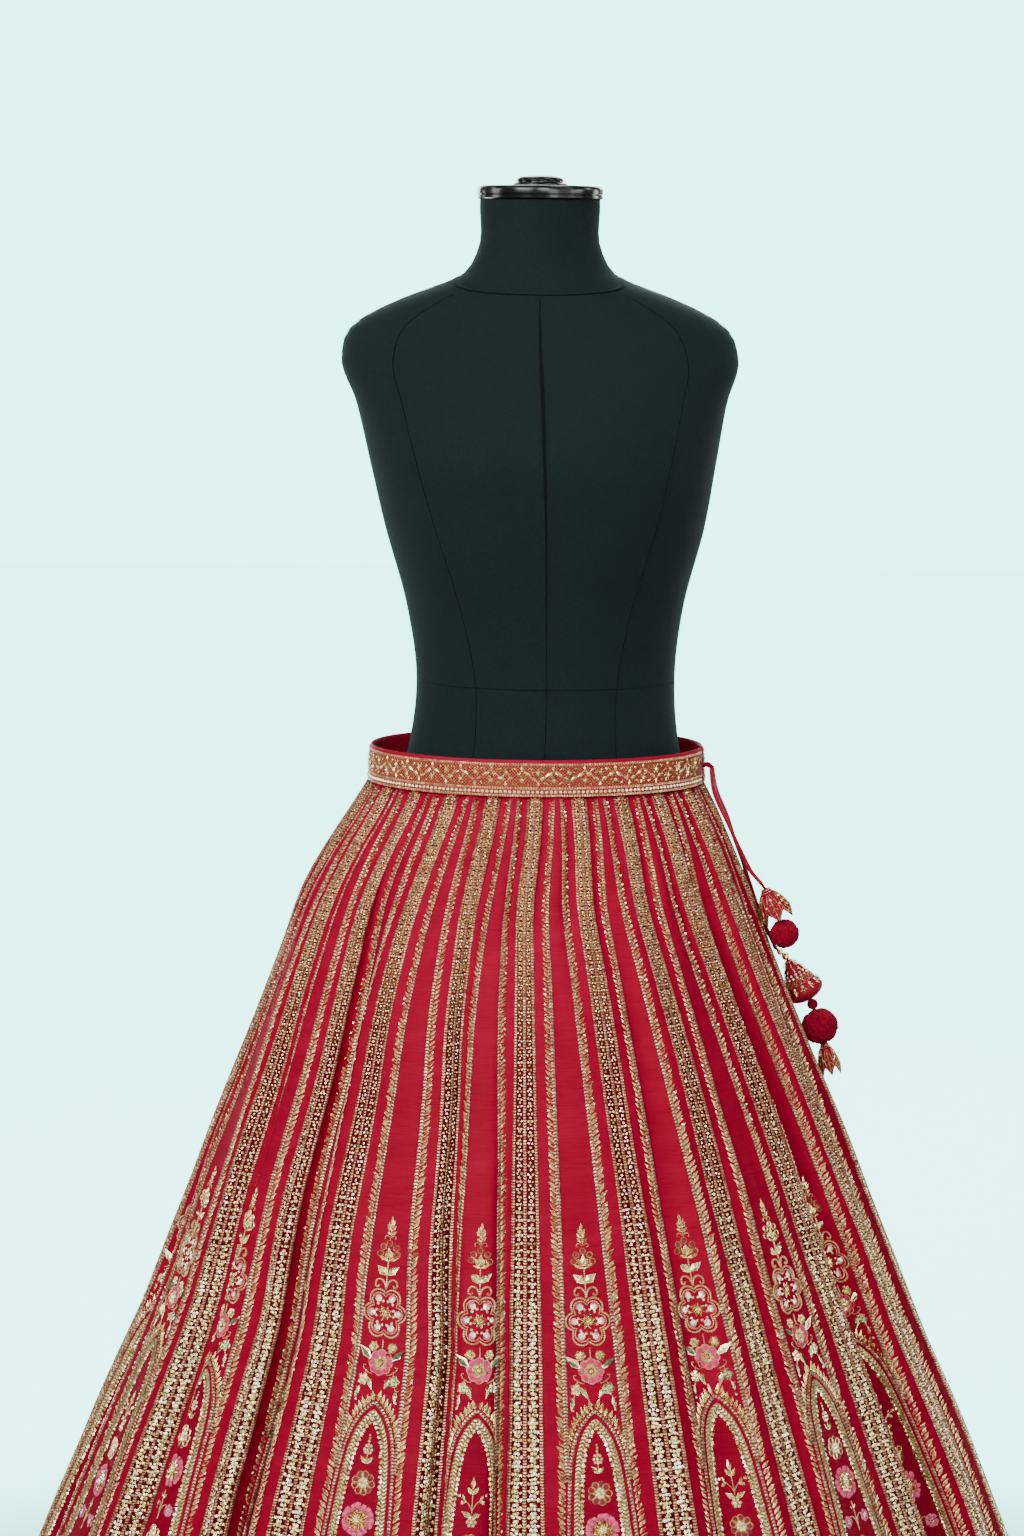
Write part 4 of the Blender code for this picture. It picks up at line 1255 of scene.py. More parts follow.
for axes, figures in ((PLAIN_AXES[::2], even_figures), (PLAIN_AXES[1::2], odd_figures)):
    for figure, slant, grow in figures:
        figure.sewn(axes, slant, grow)
for aside in (-24, 24):
    rosette.sewn(PLAIN_AXES, 0.9900, 1.0, aside)
figure_cords.piece("figure_outlines", gilt_cord("gilt_purl", 0.0020, 0.5, (0.92, 0.72, 0.36),
                                                (0.40, 0.20, 0.08)))
figure_stitches.piece("figure_fillings", 0.12, 9)


# --- Waistband --------------------------------------------------------------------------------
# A folded and stiffened band of crimson silk, open at the placket on the wearer's left. Outside it
# is worked with a gilt scroll of leaves and bead flowers, and edged below with a row of white beads.
BAND_TOP = 1.020
BAND_LOW = 0.9853
BAND_HALF_WIDTH = 0.161
BAND_HALF_DEPTH = 0.122
BAND_LEAN = 0.0015
BAND_THICKNESS = 0.003
PLACKET_PLACE = 5
PLACKET_HALF_GAP = 0.004
BAND_COLUMNS = 240
SCROLL_WAVES = 30
SCROLL_DROP = 0.0152

placket_turn = cloth_angles[PLACKET_PLACE * STEPS_PER_ARCH, 0]
end_turn = PLACKET_HALF_GAP / BAND_HALF_WIDTH
band_turns = np.linspace(placket_turn + end_turn, placket_turn + 2 * pi - end_turn, 721)
band_oval = (BAND_HALF_WIDTH * np.sin(band_turns), BAND_HALF_DEPTH * np.cos(band_turns))
band_runs = distances(np.stack(band_oval, axis=1))
BAND_LENGTH = band_runs[-1]


def follow(surface):
    """A reader like laid() for a form whose points are given by place and slant."""

    def read(place, slant):
        place, slant = np.broadcast_arrays(np.asarray(place, float), np.asarray(slant, float))
        across = unit(surface(place + 1e-4, slant) - surface(place - 1e-4, slant))
        down = unit(surface(place, slant + 1e-5) - surface(place, slant - 1e-5))
        return surface(place, slant), unit(np.cross(down, across)), across, down

    return read


def round_points(place, wide, deep, height):
    """Points round an upright axis: place in turns from the front towards the wearer's left."""
    points = (wide * np.sin(2 * pi * place), -deep * np.cos(2 * pi * place), height)
    return np.stack(np.broadcast_arrays(*points), axis=-1)


def band_face(place, drop):
    """Outside of the band, from 0 to 1 between its ends, this far below its top edge."""
    turn = np.interp(place * BAND_LENGTH, band_runs, band_turns)
    inset = BAND_LEAN * (1 - drop / (BAND_TOP - BAND_LOW))
    return round_points(turn / (2 * pi), BAND_HALF_WIDTH - inset, BAND_HALF_DEPTH - inset, BAND_TOP - drop)


def band_silk():
    """Crimson silk whose outside is quilted with gilt thread between its plain edges."""
    look = Finish("band_silk")
    run, drop = look.cut_place()
    worked = drop.between(0.0028, 0.0034) * (1 - drop.between(0.0335, 0.0340))
    one, other = (((way / 0.0030).to_whole()).between(0.13, 0.05) for way in (run + drop, run - drop))
    gilt = worked * one.math("MAXIMUM", other)
    slub = look.noise(look.object_place(), (120, 120, 1300), 3.0)
    colour = look.mix(CRIMSON, DEEP_CRIMSON, slub.between(0.45, 0.75) * 0.5)
    return look.surface(
        Base_Color=look.mix(colour, (0.52, 0.28, 0.10), gilt * 0.7),
        Roughness=0.5 + 0.15 * slub,
        Normal=look.bump(slub * 0.5 + gilt, 0.0005),
        Specular_IOR_Level=0.10,
    )


band_places = np.linspace(0, 1, BAND_COLUMNS + 1)
band_drops = np.concatenate([[0.0, 0.0005, 0.0013, 0.0024], np.linspace(0.005, BAND_TOP - BAND_LOW, 8)])
band_cloth = follow(band_face)
band_outer, band_out = band_cloth(band_places[:, None], band_drops[None, :])[:2]
rolled = 0.0011 * (1 - ease(band_drops / 0.0024))
rolled = rolled - 0.0003 * np.sin(pi * np.clip(band_drops / 0.033, 0, 1))
band_outer = band_outer - band_out * rolled[None, :, None]
band_inner = band_outer - band_out * (BAND_THICKNESS - 2 * np.maximum(rolled, 0))[None, :, None]
waistband = wall("waistband_silk", band_outer, band_inner, band_silk())
runs = np.broadcast_to((band_places * BAND_LENGTH)[:, None], band_outer.shape[:2]).ravel()
drops = np.broadcast_to(band_drops[None, :], band_outer.shape[:2]).ravel()
cut_map(waistband, np.tile(runs, 2), np.concatenate([drops, np.full(drops.shape, -0.01)]))

band_stitches = Stitching(band_cloth)
band_cords = Couching(band_cloth, lambda drop: BAND_LENGTH + 0 * drop)
along_band = np.linspace(0.0015, 0.9985, 340)
for drop in (0.0042, 0.0262, 0.0330):
    band_cords.lay(along_band, np.full(along_band.shape, drop), 0.0013, 0.0010, TWO_CORDS)
scroll_line = SCROLL_DROP + 0.0050 * np.sin(2 * pi * SCROLL_WAVES * along_band)
band_cords.lay(along_band, scroll_line, 0.0007, 0.0010, ONE_CORD)
scroll = Figure()
scroll.ring(LEAF, 6, 1.3, 4.4, 2.8, 1.3, PALE_GOLD, OLD_GOLD, middle=(0, -3.6))
scroll.spot(0, -3.6, 3.2, 1.7, WHITE_GOLD, metal=0.7, lift=0.6)
scroll.pair(LEAF, 1.4, 3.2, -24, 7.4, 4.0, 1.3)
scroll.pair(LEAF, 5.2, -7.2, 20, 5.2, 3.2, 1.2, PALE_GOLD, OLD_GOLD)
scroll.sew(LEAF, 0, 9.6, -90, 5.0, 3.4, 1.2)
waves = (np.arange(SCROLL_WAVES) + 0.25) / SCROLL_WAVES
scroll.sewn(waves, SCROLL_DROP, onto=(band_stitches, band_cords))
scroll.upside_down().sewn(waves[:-1] + 0.5 / SCROLL_WAVES, SCROLL_DROP, onto=(band_stitches, band_cords))
beads = np.arange(0.004, 0.997, 0.0043 / BAND_LENGTH)
band_stitches.sew(SEQUIN, beads, 0.0297, 0.3, 0.0033, 0.0033, 0.0017, WHITE_GOLD, metal=0.4)
band_gilt = gilt_cord("gilt_band_cord", 0.0024, 0.8, (0.84, 0.54, 0.22), (0.24, 0.04, 0.03))
band_cord_work = band_cords.piece("waistband_cords", band_gilt, "gold_embroidery")
band_stitch_work = band_stitches.piece("waistband_stitches", 0.14, 11, "gold_embroidery")
stand_for(waistband, "gold_embroidery", "waistband")


# --- Tassels ----------------------------------------------------------------------------------
# What hangs on the ties: stiff bells and a stuffed cone of red silk worked with gilt thread and
# sequins, pompoms of cut red thread on solid hearts, a wound thread ball and two gilt beads.
UPPER_BELL = ((0.2197, -0.0220, 0.8838), 26, 0.033, 0.0035, 0.0155)
LOWER_BELL = ((0.2818, 0.0090, 0.7265), 15, 0.031, 0.0035, 0.0105)
CONE = ((0.2447, 0.0060, 0.8093), 30, 0.034, 0.0030, 0.0190)
CONE_BELLY = 0.010
BELL_PETALS = 6
BELL_WALL = 0.0012
UPPER_POMPOM = ((0.2392, -0.0225, 0.8405), 0.0140)
LOWER_POMPOM = ((0.2773, 0.0075, 0.7442), 0.0175)
THREAD_BALL = ((0.2696, 0.0060, 0.7662), 0.0055)
SMALL_BEAD = ((0.2372, 0.0060, 0.8173), 0.0030)
LARGE_BEAD = ((0.2428, 0.0060, 0.8130), 0.0038)
LOCKS = 120
GOLDEN_TURN = 0.61803399
THREAD_RED = (0.36, 0.0030, 0.026)


def tassel_frame(top, lean):
    return Matrix.Translation(top) @ Matrix.Rotation(radians(-lean), 4, "Y")


def hung_face(frame, radius_at, depth_at):
    """Outside of a round form in its own leaning frame: place in turns, slant down from its top."""
    turned, at = np.array(frame.to_3x3()), np.array(frame.translation)

    def face(place, slant):
        radius = radius_at(slant)
        return round_points(place, radius, radius, -depth_at(place, slant)) @ turned.T + at

    return face


def ball_face(centre, radius):
    def face(place, slant):
        wide = np.sin(slant / radius)
        return round_points(place, wide, wide, np.cos(slant / radius)) * radius + np.array(centre)

    return face


def arc(radius, angles, height=None):
    """(radius, height) corners on a round or flattened arc."""
    return [(radius * cos(radians(a)), (height or radius) * sin(radians(a))) for a in angles]


def turned_piece(name, profile, look, frame=Matrix(), sides=64, holed=False):
    """Turned from (radius, height) corners: bottom, up the outside, and back through any hole."""
    turn = 2 * pi * np.arange(sides) / sides
    radius, height = np.array(profile, float).T[:, :, None]
    points = np.stack(np.broadcast_arrays(radius * np.cos(turn), radius * np.sin(turn), height), axis=-1)
    points = points.reshape(-1, 3) @ np.array(frame.to_3x3()).T + np.array(frame.translation)
    faces = tube_faces(len(profile), sides)
    if holed:
        top = (len(profile) - 1) * sides
        faces = faces[:-2] + [(top + k, top + (k + 1) % sides, (k + 1) % sides, k) for k in range(sides)]
    made = add_piece(name, points, faces, look)
    made.data.set_sharp_from_angle(angle=radians(42))
    return made


def cut_thread():
    """Cut cotton thread, packed close: fine strands in deep and brighter red."""
    look = Finish("cut_thread")
    place = look.object_place()
    strand, lock = look.noise(place, 2600.0), look.noise(place, 420.0)
    colour = look.mix((0.16, 0.0013, 0.010), THREAD_RED, strand.between(0.35, 0.6))
    colour = look.mix(colour, (0.50, 0.008, 0.048), lock.between(0.5, 0.75) * 0.5)
    return look.surface(
        Base_Color=colour,
        Roughness=0.75 + 0.15 * strand,
        Normal=look.bump(strand + lock * 0.6, 0.0008),
        Specular_IOR_Level=0.05,
        Sheen_Weight=0.25,
        Sheen_Tint=(1.0, 0.10, 0.2),
    )


def bell_silk():
    look = Finish("bell_silk")
    place = look.object_place()
    slub, cloudy = look.noise(place, (300, 300, 1600), 3.0), look.noise(place, 90.0)
    colour = look.mix((0.27, 0.0024, 0.022), DEEP_CRIMSON, slub.between(0.4, 0.7) * 0.6)
    return look.surface(
        Base_Color=look.mix(colour, BRIGHT_CRIMSON, cloudy.between(0.5, 0.8) * 0.4),
        Roughness=0.5 + 0.2 * slub,
        Normal=look.bump(slub, 0.0004),
        Specular_IOR_Level=0.12,
    )


def hard_finish(name, base, worn, scale, edges, roughness, rougher, depth, ripple=None, **more):
    """A polished or painted surface, worn or dusty in patches, that may ripple more broadly."""
    look = Finish(name)
    wear = look.noise(look.object_place(), scale, 3.0)
    relief = look.noise(look.object_place(), ripple, 1.0) if ripple else wear
    return look.surface(
        Base_Color=look.mix(base, worn, wear.between(*edges)),
        Roughness=roughness + rougher * wear,
        Normal=look.bump(relief, depth),
        **more,
    )


thread_look, bell_look = cut_thread(), bell_silk()
gilt_look = hard_finish("polished_gilt", (0.86, 0.56, 0.20), (0.60, 0.34, 0.11), 500.0, (0.5, 0.75),
                        0.16, 0.14, 0.0001, Metallic=1.0)
tassel_cord_look = gilt_cord("gilt_tassel_cord", 0.0018, 0.6, (0.84, 0.54, 0.22), (0.28, 0.05, 0.035))


def finish_tassel(silk_piece, name, node, cords, stitches, seed):
    cord_work = cords.piece(name + "_cords", tassel_cord_look, "gold_embroidery")
    stitch_work = stitches.piece(name + "_stitches", 0.12, seed, "gold_embroidery")
    return [stand_for(silk_piece, "gold_embroidery", node), cord_work, stitch_work]


def make_bell(name, tassel, node):
    """A stiff bell whose mouth is cut into pointed petals, each outlined and veined in gilt cord."""
    top, lean, height, neck, mouth = tassel
    rises, shoulders = np.array((0.0, 0.35, 0.70, 1.0)), np.array((0.0, 0.62, 0.90, 1.0))

    def radius_at(slant):
        return neck + (mouth - neck) * through(rises, shoulders, np.clip(slant / height, 0, 1))

    def depth_at(place, slant):
        beside = np.abs((place * BELL_PETALS + 0.5) % 1.0 - 0.5) * 2
        return slant * (1 - 0.36 * beside * (slant / height) ** 2)

    cloth = follow(hung_face(tassel_frame(top, lean), radius_at, depth_at))
    columns = np.arange(BELL_PETALS * 12) / (BELL_PETALS * 12)
    outer, out = cloth(columns[:, None], np.linspace(0, 0.999 * height, 18)[None, :])[:2]
    bell = wall(name + "_silk", outer, outer - out * BELL_WALL, bell_look, closed=True)
    stitches, cords = Stitching(cloth), Couching(cloth, lambda slant: 2 * pi * radius_at(slant))
    around_bell = np.arange(BELL_PETALS * 8) / (BELL_PETALS * 8)
    for rise, half in ((0.03, 0.0008), (0.10, 0.0006), (0.94, 0.0008)):
        cords.lay(around_bell, np.full(around_bell.shape, rise * height), half, 0.0008, ONE_CORD, closed=True)
    rise = np.linspace(0.16, 0.90, 12)
    bowed = 0.40 * np.sin(pi * np.clip((rise - 0.10) / 0.95, 0, 1)) ** 0.6 / BELL_PETALS
    for middle in np.arange(BELL_PETALS) / BELL_PETALS:
        cords.lay(np.full(12, middle), rise * height, 0.0005, 0.0008, ONE_CORD)
        for side, turn in ((-1, radians(130)), (1, radians(50))):
            cords.lay(middle + side * bowed, rise * height, 0.0005, 0.0008, ONE_CORD)
            for at, long in ((0.40, 0.0042), (0.58, 0.0044), (0.75, 0.0036)):
                place = middle + side * 0.03 / BELL_PETALS
                stitches.sew(LEAF, place, at * height, turn, long, long * 0.5, 0.0010, PALE_GOLD, OLD_GOLD)
        for place, at, size, lift in ((middle, 0.30, 0.0028, 0.0006),
                                      (middle + 0.5 / BELL_PETALS, 0.55, 0.0024, 0.0004)):
            stitches.sew(SEQUIN, place, at * height, 0.0, size, size, size / 2, WHITE_GOLD, metal=0.7,
                         lift=lift)
    return finish_tassel(bell, name, node, cords, stitches, 13)


def make_cone():
    """The stuffed cone: sprigs, rows of sequins, a zigzag band and flowers over a plain belly."""
    top, lean, height, neck, mouth = CONE

    def radius_at(slant):
        return np.interp(slant, (0.0, 0.002, 0.010, height), (neck, neck + 0.0012, 0.0085, mouth))

    frame = tassel_frame(top, lean)
    cloth = follow(hung_face(frame, radius_at, lambda place, slant: slant))
    belly = arc(mouth, (78, 66, 54, 42, 30, 18, 8), CONE_BELLY)
    profile = [(0.0012, -height - CONE_BELLY)] + [(radius, -height - drop) for radius, drop in belly]
    profile += [(mouth, -height), (mouth - 0.0008, -height + 0.0022)]
    profile += [(float(radius_at(drop)), -drop) for drop in (0.028, 0.022, 0.016, 0.010, 0.006, 0.002)]
    profile += [(neck, -0.0004), (0.0010, 0.0)]
    cone = turned_piece("cone_bell_silk", profile, bell_look, frame, 72)
    stitches, cords = Stitching(cloth), Couching(cloth, lambda slant: 2 * pi * radius_at(slant))
    ring = np.arange(72) / 72
    zigzag = 0.0217 + 0.0015 * np.where(np.arange(72) % 4 < 2, 1, -1)
    for slant, half, high in ((0.0015, 0.0007, 0.0008), (0.0194, 0.0006, 0.0008), (0.0240, 0.0006, 0.0008),
                              (zigzag, 0.0006, 0.0009)):
        cords.lay(ring, np.broadcast_to(slant, ring.shape), half, high, ONE_CORD, closed=True)
    for count, slant, angle, long, wide, core in (
        (7, 0.0030, 90, 0.0052, 0.0026, OLD_GOLD), (9, 0.0086, 90, 0.0046, 0.0028, GREEN_GOLD),
        (14, 0.0142, 0, 0.0027, 0.0027, None), (17, 0.0172, 0, 0.0027, 0.0027, None),
        (12, 0.0276, 90, 0.0062, 0.0030, OLD_GOLD), (12, 0.0286, 25, 0.0042, 0.0024, GREEN_GOLD),
        (12, 0.0286, 155, 0.0042, 0.0024, GREEN_GOLD), (12, 0.0268, 0, 0.0030, 0.0030, None),
    ):
        kind, dye, metal = (LEAF, PALE_GOLD, 0.9) if core else (SEQUIN, WHITE_GOLD, 0.6)
        places = np.arange(count) / count
        stitches.sew(kind, places, slant, radians(angle), long, wide, 0.0013, dye, core, metal, 0.0004)
    pieces = finish_tassel(cone, "cone_bell", "cone_bell", cords, stitches, 17)
    return pieces


def make_pompom(name, ball, node, seed):
    """Locks of cut thread stood close on a solid heart."""
    centre, radius = ball
    heart = radius * 0.66
    count = np.arange(LOCKS) + 0.5
    locks = Stitching(follow(ball_face(centre, heart)))
    tall = (radius - heart) * np.random.default_rng(seed).uniform(0.90, 1.12, LOCKS)
    wide = radius * 0.38
    slant = heart * np.arccos(1 - 2 * count / LOCKS)
    locks.sew(LOCK, count * GOLDEN_TURN, slant, 0.0, wide, wide, tall, THREAD_RED, metal=0.0, lift=-0.0006)
    tuft = locks.piece(name + "_locks", 0.16, seed, "thread", thread_look, (node,))
    profile = arc(heart, range(-86, 87, 12))
    core = turned_piece(name + "_heart", profile, thread_look, Matrix.Translation(centre), 32)
    return [tuft, stand_for(core, "thread")]


def make_bead(name, ball, lean, node):
    centre, radius = ball
    hole = 0.0006
    profile = [(hole, -radius * 0.90), *arc(radius, range(-78, 79, 12)), (hole, radius * 0.90)]
    bead = turned_piece(name, profile, gilt_look, tassel_frame(centre, lean), 40, holed=True)
    return [stand_for(bead, "gilt", node)]


def make_thread_ball():
    """A ball wound with red thread, in turns that cross each other."""
    centre, radius = THREAD_BALL
    heart = radius - 0.0007
    profile = arc(heart, range(-88, 89, 11))
    core = turned_piece("thread_ball_heart", profile, thread_look, Matrix.Translation(centre), 32)
    stand_for(core, "thread", "thread_ball")
    winding = Couching(follow(ball_face(centre, heart)), lambda slant: 2 * pi * heart * np.sin(slant / heart))
    turn = 2 * pi * np.arange(48) / 48
    for tilt in np.linspace(10, 80, 8):
        x, y, z = np.cos(turn), np.sin(turn) * cos(radians(tilt)), np.sin(turn) * sin(radians(tilt))
        slant = heart * np.arccos(np.clip(z, -0.99, 0.99))
        for start in (0.0, 0.33, 0.66):
            place = np.unwrap(np.arctan2(x, -y)) / (2 * pi) + start + tilt / 90
            winding.lay(place, slant, 0.00055, 0.0006, ONE_CORD, closed=True)
    return [core, winding.piece("thread_ball_winding", thread_look, "thread")]


def make_link(name, *points):
    """A twist of red thread that joins two ornaments."""
    path = smooth_path(points, lambda length: 12)
    run = unit(np.gradient(path, axis=0))
    side = unit(np.cross(run, (0.0, 1.0, 0.0)))
    turns = 2 * pi * np.arange(8)[:, None] / 8
    spokes = side[:, None] * np.cos(turns) + np.cross(run, side)[:, None] * np.sin(turns)
    rings = path[:, None] + spokes * 0.0012 * (1 + 0.15 * np.cos(2 * turns))
    return stand_for(add_piece(name, rings.reshape(-1, 3), tube_faces(len(path), 8), thread_look), "thread")


upper_ornaments = [
    *make_bell("petal_bell_upper", UPPER_BELL, "petal_bell_upper"),
    *make_pompom("pompom_upper", UPPER_POMPOM, "pompom_upper", 21),
]
lower_ornaments = [
    *make_bead("bead_small_gilt", SMALL_BEAD, 52, "bead_small"),
    *make_bead("bead_large_gilt", LARGE_BEAD, 52, "bead_large"),
    *make_cone(),
    *make_thread_ball(),
    *make_pompom("pompom_lower", LOWER_POMPOM, "pompom_lower", 23),
    *make_bell("petal_bell_lower", LOWER_BELL, "petal_bell_lower"),
]
for ornaments, name, points in (
    (upper_ornaments, "link_upper_pompom", (short_path[-1], UPPER_BELL[0], (0.2290, -0.0222, 0.8640),
                                            UPPER_POMPOM[0])),
    (lower_ornaments, "link_beads", (long_path[-1], SMALL_BEAD[0], LARGE_BEAD[0], CONE[0])),
    (lower_ornaments, "link_lower_pompom",
     ((0.2640, 0.0060, 0.7760), THREAD_BALL[0], (0.2735, 0.0066, 0.7560), LOWER_POMPOM[0])),
    (lower_ornaments, "link_lower_bell",
     (LOWER_POMPOM[0], (0.2800, 0.0085, 0.7320), LOWER_BELL[0], (0.2830, 0.0090, 0.7220))),
    (upper_ornaments, "tack_short_tie",
     ((0.1588, -0.0205, 1.0020), (0.1630, -0.0210, 1.0026), short_path[0], short_path[3])),
    (lower_ornaments, "tack_long_tie",
     ((0.1600, -0.0108, 1.0030), (0.1640, -0.0110, 1.0034), long_path[0], long_path[3])),
):
    ornaments.append(make_link(name, *points))
for tie, path, ornaments in ((tie_short, short_path, upper_ornaments), (tie_long, long_path, lower_ornaments)):
    length = float(distances(path)[-1])
    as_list(ornaments)


# --- Dress form -------------------------------------------------------------------------------
# A limbless dressmaker's form: a padded torso in dark jersey with fine seams, a turned and
# lacquered neck cap with its knob, and a painted steel pole and round base under the skirt.
FORM_SECTIONS = np.array((
    (0.775, 0.004, 0.138, 0.100, 2.2), (0.783, 0.004, 0.150, 0.110, 2.2),
    (0.810, 0.004, 0.160, 0.118, 2.2), (0.860, 0.004, 0.165, 0.124, 2.2),
    (0.920, 0.005, 0.158, 0.119, 2.2), (0.975, 0.006, 0.141, 0.106, 2.1),
    (1.020, 0.007, 0.129, 0.098, 2.0), (1.082, 0.008, 0.123, 0.093, 2.0),
    (1.150, 0.007, 0.131, 0.099, 2.1), (1.230, 0.006, 0.152, 0.116, 2.2),
    (1.290, 0.004, 0.164, 0.123, 2.3), (1.345, 0.002, 0.175, 0.110, 2.4),
    (1.390, 0.000, 0.187, 0.090, 2.3), (1.420, -0.001, 0.172, 0.074, 2.2),
    (1.445, -0.001, 0.122, 0.066, 2.1), (1.463, -0.001, 0.075, 0.060, 2.0),
    (1.482, -0.001, 0.0610, 0.0570, 2.0), (1.535, -0.001, 0.0565, 0.0555, 2.0),
))
FORM_LOW, NECK_TOP = FORM_SECTIONS[0, 0], FORM_SECTIONS[-1, 0]
FORM_LEVELS = 76
FORM_AROUND = 80
FORM_WAIST = 1.082
FORM_MEAN_RADIUS = 0.13
NECK_MIDDLE = -0.001
CAP_RADIUS = 0.0590
CAP_LOW, CAP_HIGH = 1.5353, 1.5475
CAP_ROUND = 0.0038
JERSEY_DYES = ((0.0082, 0.0144, 0.0147), (0.0055, 0.0105, 0.0110), (0.0048, 0.0092, 0.0100))


def form_face(place, drop):
    """Outside of the torso: place in turns from the front, this far below the neck's top."""
    height = np.clip(NECK_TOP - drop, FORM_LOW, NECK_TOP)
    heights, *measures = FORM_SECTIONS.T
    middle, wide, deep, square = (through(heights, measure, height) for measure in measures)
    s, c = np.sin(2 * pi * place), np.cos(2 * pi * place)
    across = middle + wide * np.sign(s) * np.abs(s) ** (2 / square)
    back = -deep * np.sign(c) * np.abs(c) ** (2 / square)
    return np.stack(np.broadcast_arrays(across, back, height), axis=-1)


def dark_jersey(name="dark_jersey", share=1.0):
    """Fine dark jersey, knitted in close upright ribs and stretched smooth, or darker in a seam."""
    look = Finish(name)
    place = look.object_place()
    rib, soft = look.noise(place, (1500, 1500, 260)), look.noise(place, 7.0)
    light, deep, shade = (tuple(share * part for part in dye) for dye in JERSEY_DYES)
    colour = look.mix(deep, light, rib.between(0.35, 0.65))
    return look.surface(
        Base_Color=look.mix(colour, shade, soft.between(0.4, 0.7) * 0.5),
        Roughness=0.72 + 0.12 * rib,
        Normal=look.bump(rib, 0.0003),
        Specular_IOR_Level=0.05,
        Sheen_Weight=0.04,
        Sheen_Tint=(0.5, 0.9, 0.9),
    )


def neck_line(place):
    """How far below the neck's top its lower seam runs: low in front and high behind."""
    return NECK_TOP - 1.466 + 0.019 * np.cos(2 * pi * place)


jersey_look, seam_look = dark_jersey(), dark_jersey("seam_jersey", 0.25)
lacquer_look = hard_finish("black_lacquer", (0.003, 0.003, 0.004), (0.010, 0.010, 0.011), 300.0, (0.55, 0.8),
                           0.15, 0.08, 0.0001, ripple=60.0, Specular_IOR_Level=0.26)
steel_look = hard_finish("painted_steel", (0.018, 0.018, 0.020), (0.055, 0.055, 0.058), 180.0, (0.5, 0.75),
                         0.42, 0.2, 0.0002)
form_places = np.arange(FORM_AROUND) / FORM_AROUND
form_heights = [FORM_LOW, FORM_LOW + 0.0015, *np.linspace(FORM_LOW + 0.004, NECK_TOP, FORM_LEVELS)]
rings = form_face(form_places[None, :], NECK_TOP - np.array(form_heights)[:, None])
torso = add_piece("torso_jersey", rings.reshape(-1, 3), tube_faces(len(form_heights), FORM_AROUND), jersey_look)
torso.data.set_sharp_from_angle(angle=radians(50))
stand_for(torso, "jersey", "torso")

seams = Couching(follow(form_face), lambda drop: 2 * pi * FORM_MEAN_RADIUS + 0 * drop)
ring, drop = np.arange(96) / 96, np.linspace(0.088, 0.757, 90)
seams.lay(ring, neck_line(ring), 0.0011, 0.0006, ONE_CORD, closed=True)
seams.lay(ring, np.full(96, NECK_TOP - FORM_WAIST), 0.0008, 0.0004, ONE_CORD, closed=True)
for place in (0.0, 0.5, 0.25, 0.75):
    slant = np.linspace(neck_line(place), drop[-1], 90)
    seams.lay(np.full(90, place + 1e-4), slant, 0.0008, 0.0004, ONE_CORD)
for side in (-1, 1):
    for middle, sweep in ((0.0, 0.105), (0.5, 0.100)):
        seams.lay(middle + side * (sweep + 0.018 * np.sin(drop * 9)), drop, 0.0008, 0.0004, ONE_CORD)
seams.piece("torso_seams", seam_look, "jersey")

groove = CAP_RADIUS - 0.0012
cap_profile = [(0.0020, CAP_LOW), (CAP_RADIUS - 0.0008, CAP_LOW), (CAP_RADIUS, CAP_LOW + 0.0008),
               (CAP_RADIUS, CAP_LOW + 0.0030), (groove, CAP_LOW + 0.0036), (groove, CAP_LOW + 0.0042),
               (CAP_RADIUS, CAP_LOW + 0.0048)]
cap_profile += [(CAP_RADIUS - CAP_ROUND + radius, CAP_HIGH - CAP_ROUND + rise)
                for radius, rise in arc(CAP_ROUND, (0, 22, 45, 68, 90))]
cap_profile += [(0.0440, CAP_HIGH), (0.0432, CAP_HIGH - 0.0006), (0.0424, CAP_HIGH), (0.0020, CAP_HIGH)]
knob_profile = [(0.0010, 0.0), (0.0258, 0.0), (0.0262, 0.0004), (0.0261, 0.0010), (0.0252, 0.0018),
                (0.0232, 0.0026), (0.0219, 0.0034), (0.0217, 0.0042), (0.0222, 0.0052), (0.0219, 0.0062),
                (0.0208, 0.0071), (0.0188, 0.0080), (0.0160, 0.0087), (0.0120, 0.0092), (0.0060, 0.0095),
                (0.0008, 0.0095)]
base_profile = [(0.0020, 0.0), (0.1790, 0.0), (0.1800, 0.0010), (0.1800, 0.0060), (0.1788, 0.0088),
                (0.1760, 0.0100), (0.0315, 0.0158), (0.0300, 0.0170), (0.0300, 0.0260), (0.0288, 0.0288),
                (0.0260, 0.0300), (0.0020, 0.0300)]
pole_profile = [(0.0020, 0.0303), (0.0155, 0.0303), (0.0160, 0.0308), (0.0160, 0.0560), (0.0152, 0.0565),
                (0.0152, 0.0575), (0.0160, 0.0580), (0.0160, 0.7740), (0.0155, 0.7747), (0.0020, 0.7747)]
for node, profile, look, word, slot, middle, height, sides in (
    ("neck_cap", cap_profile, lacquer_look, "lacquer", "lacquer", NECK_MIDDLE, 0, 128),
    ("cap_knob", knob_profile, lacquer_look, "lacquer", "lacquer", NECK_MIDDLE, CAP_HIGH + 0.0003, 96),
    ("stand_base", base_profile, steel_look, "steel", "stand_metal", 0, 0, 128),
    ("pole", pole_profile, steel_look, "steel", "stand_metal", 0, 0, 48),
):
    frame_there = Matrix.Translation((middle, 0, height))
    stand_for(turned_piece(f"{node}_{word}", profile, look, frame_there, sides), slot, node)


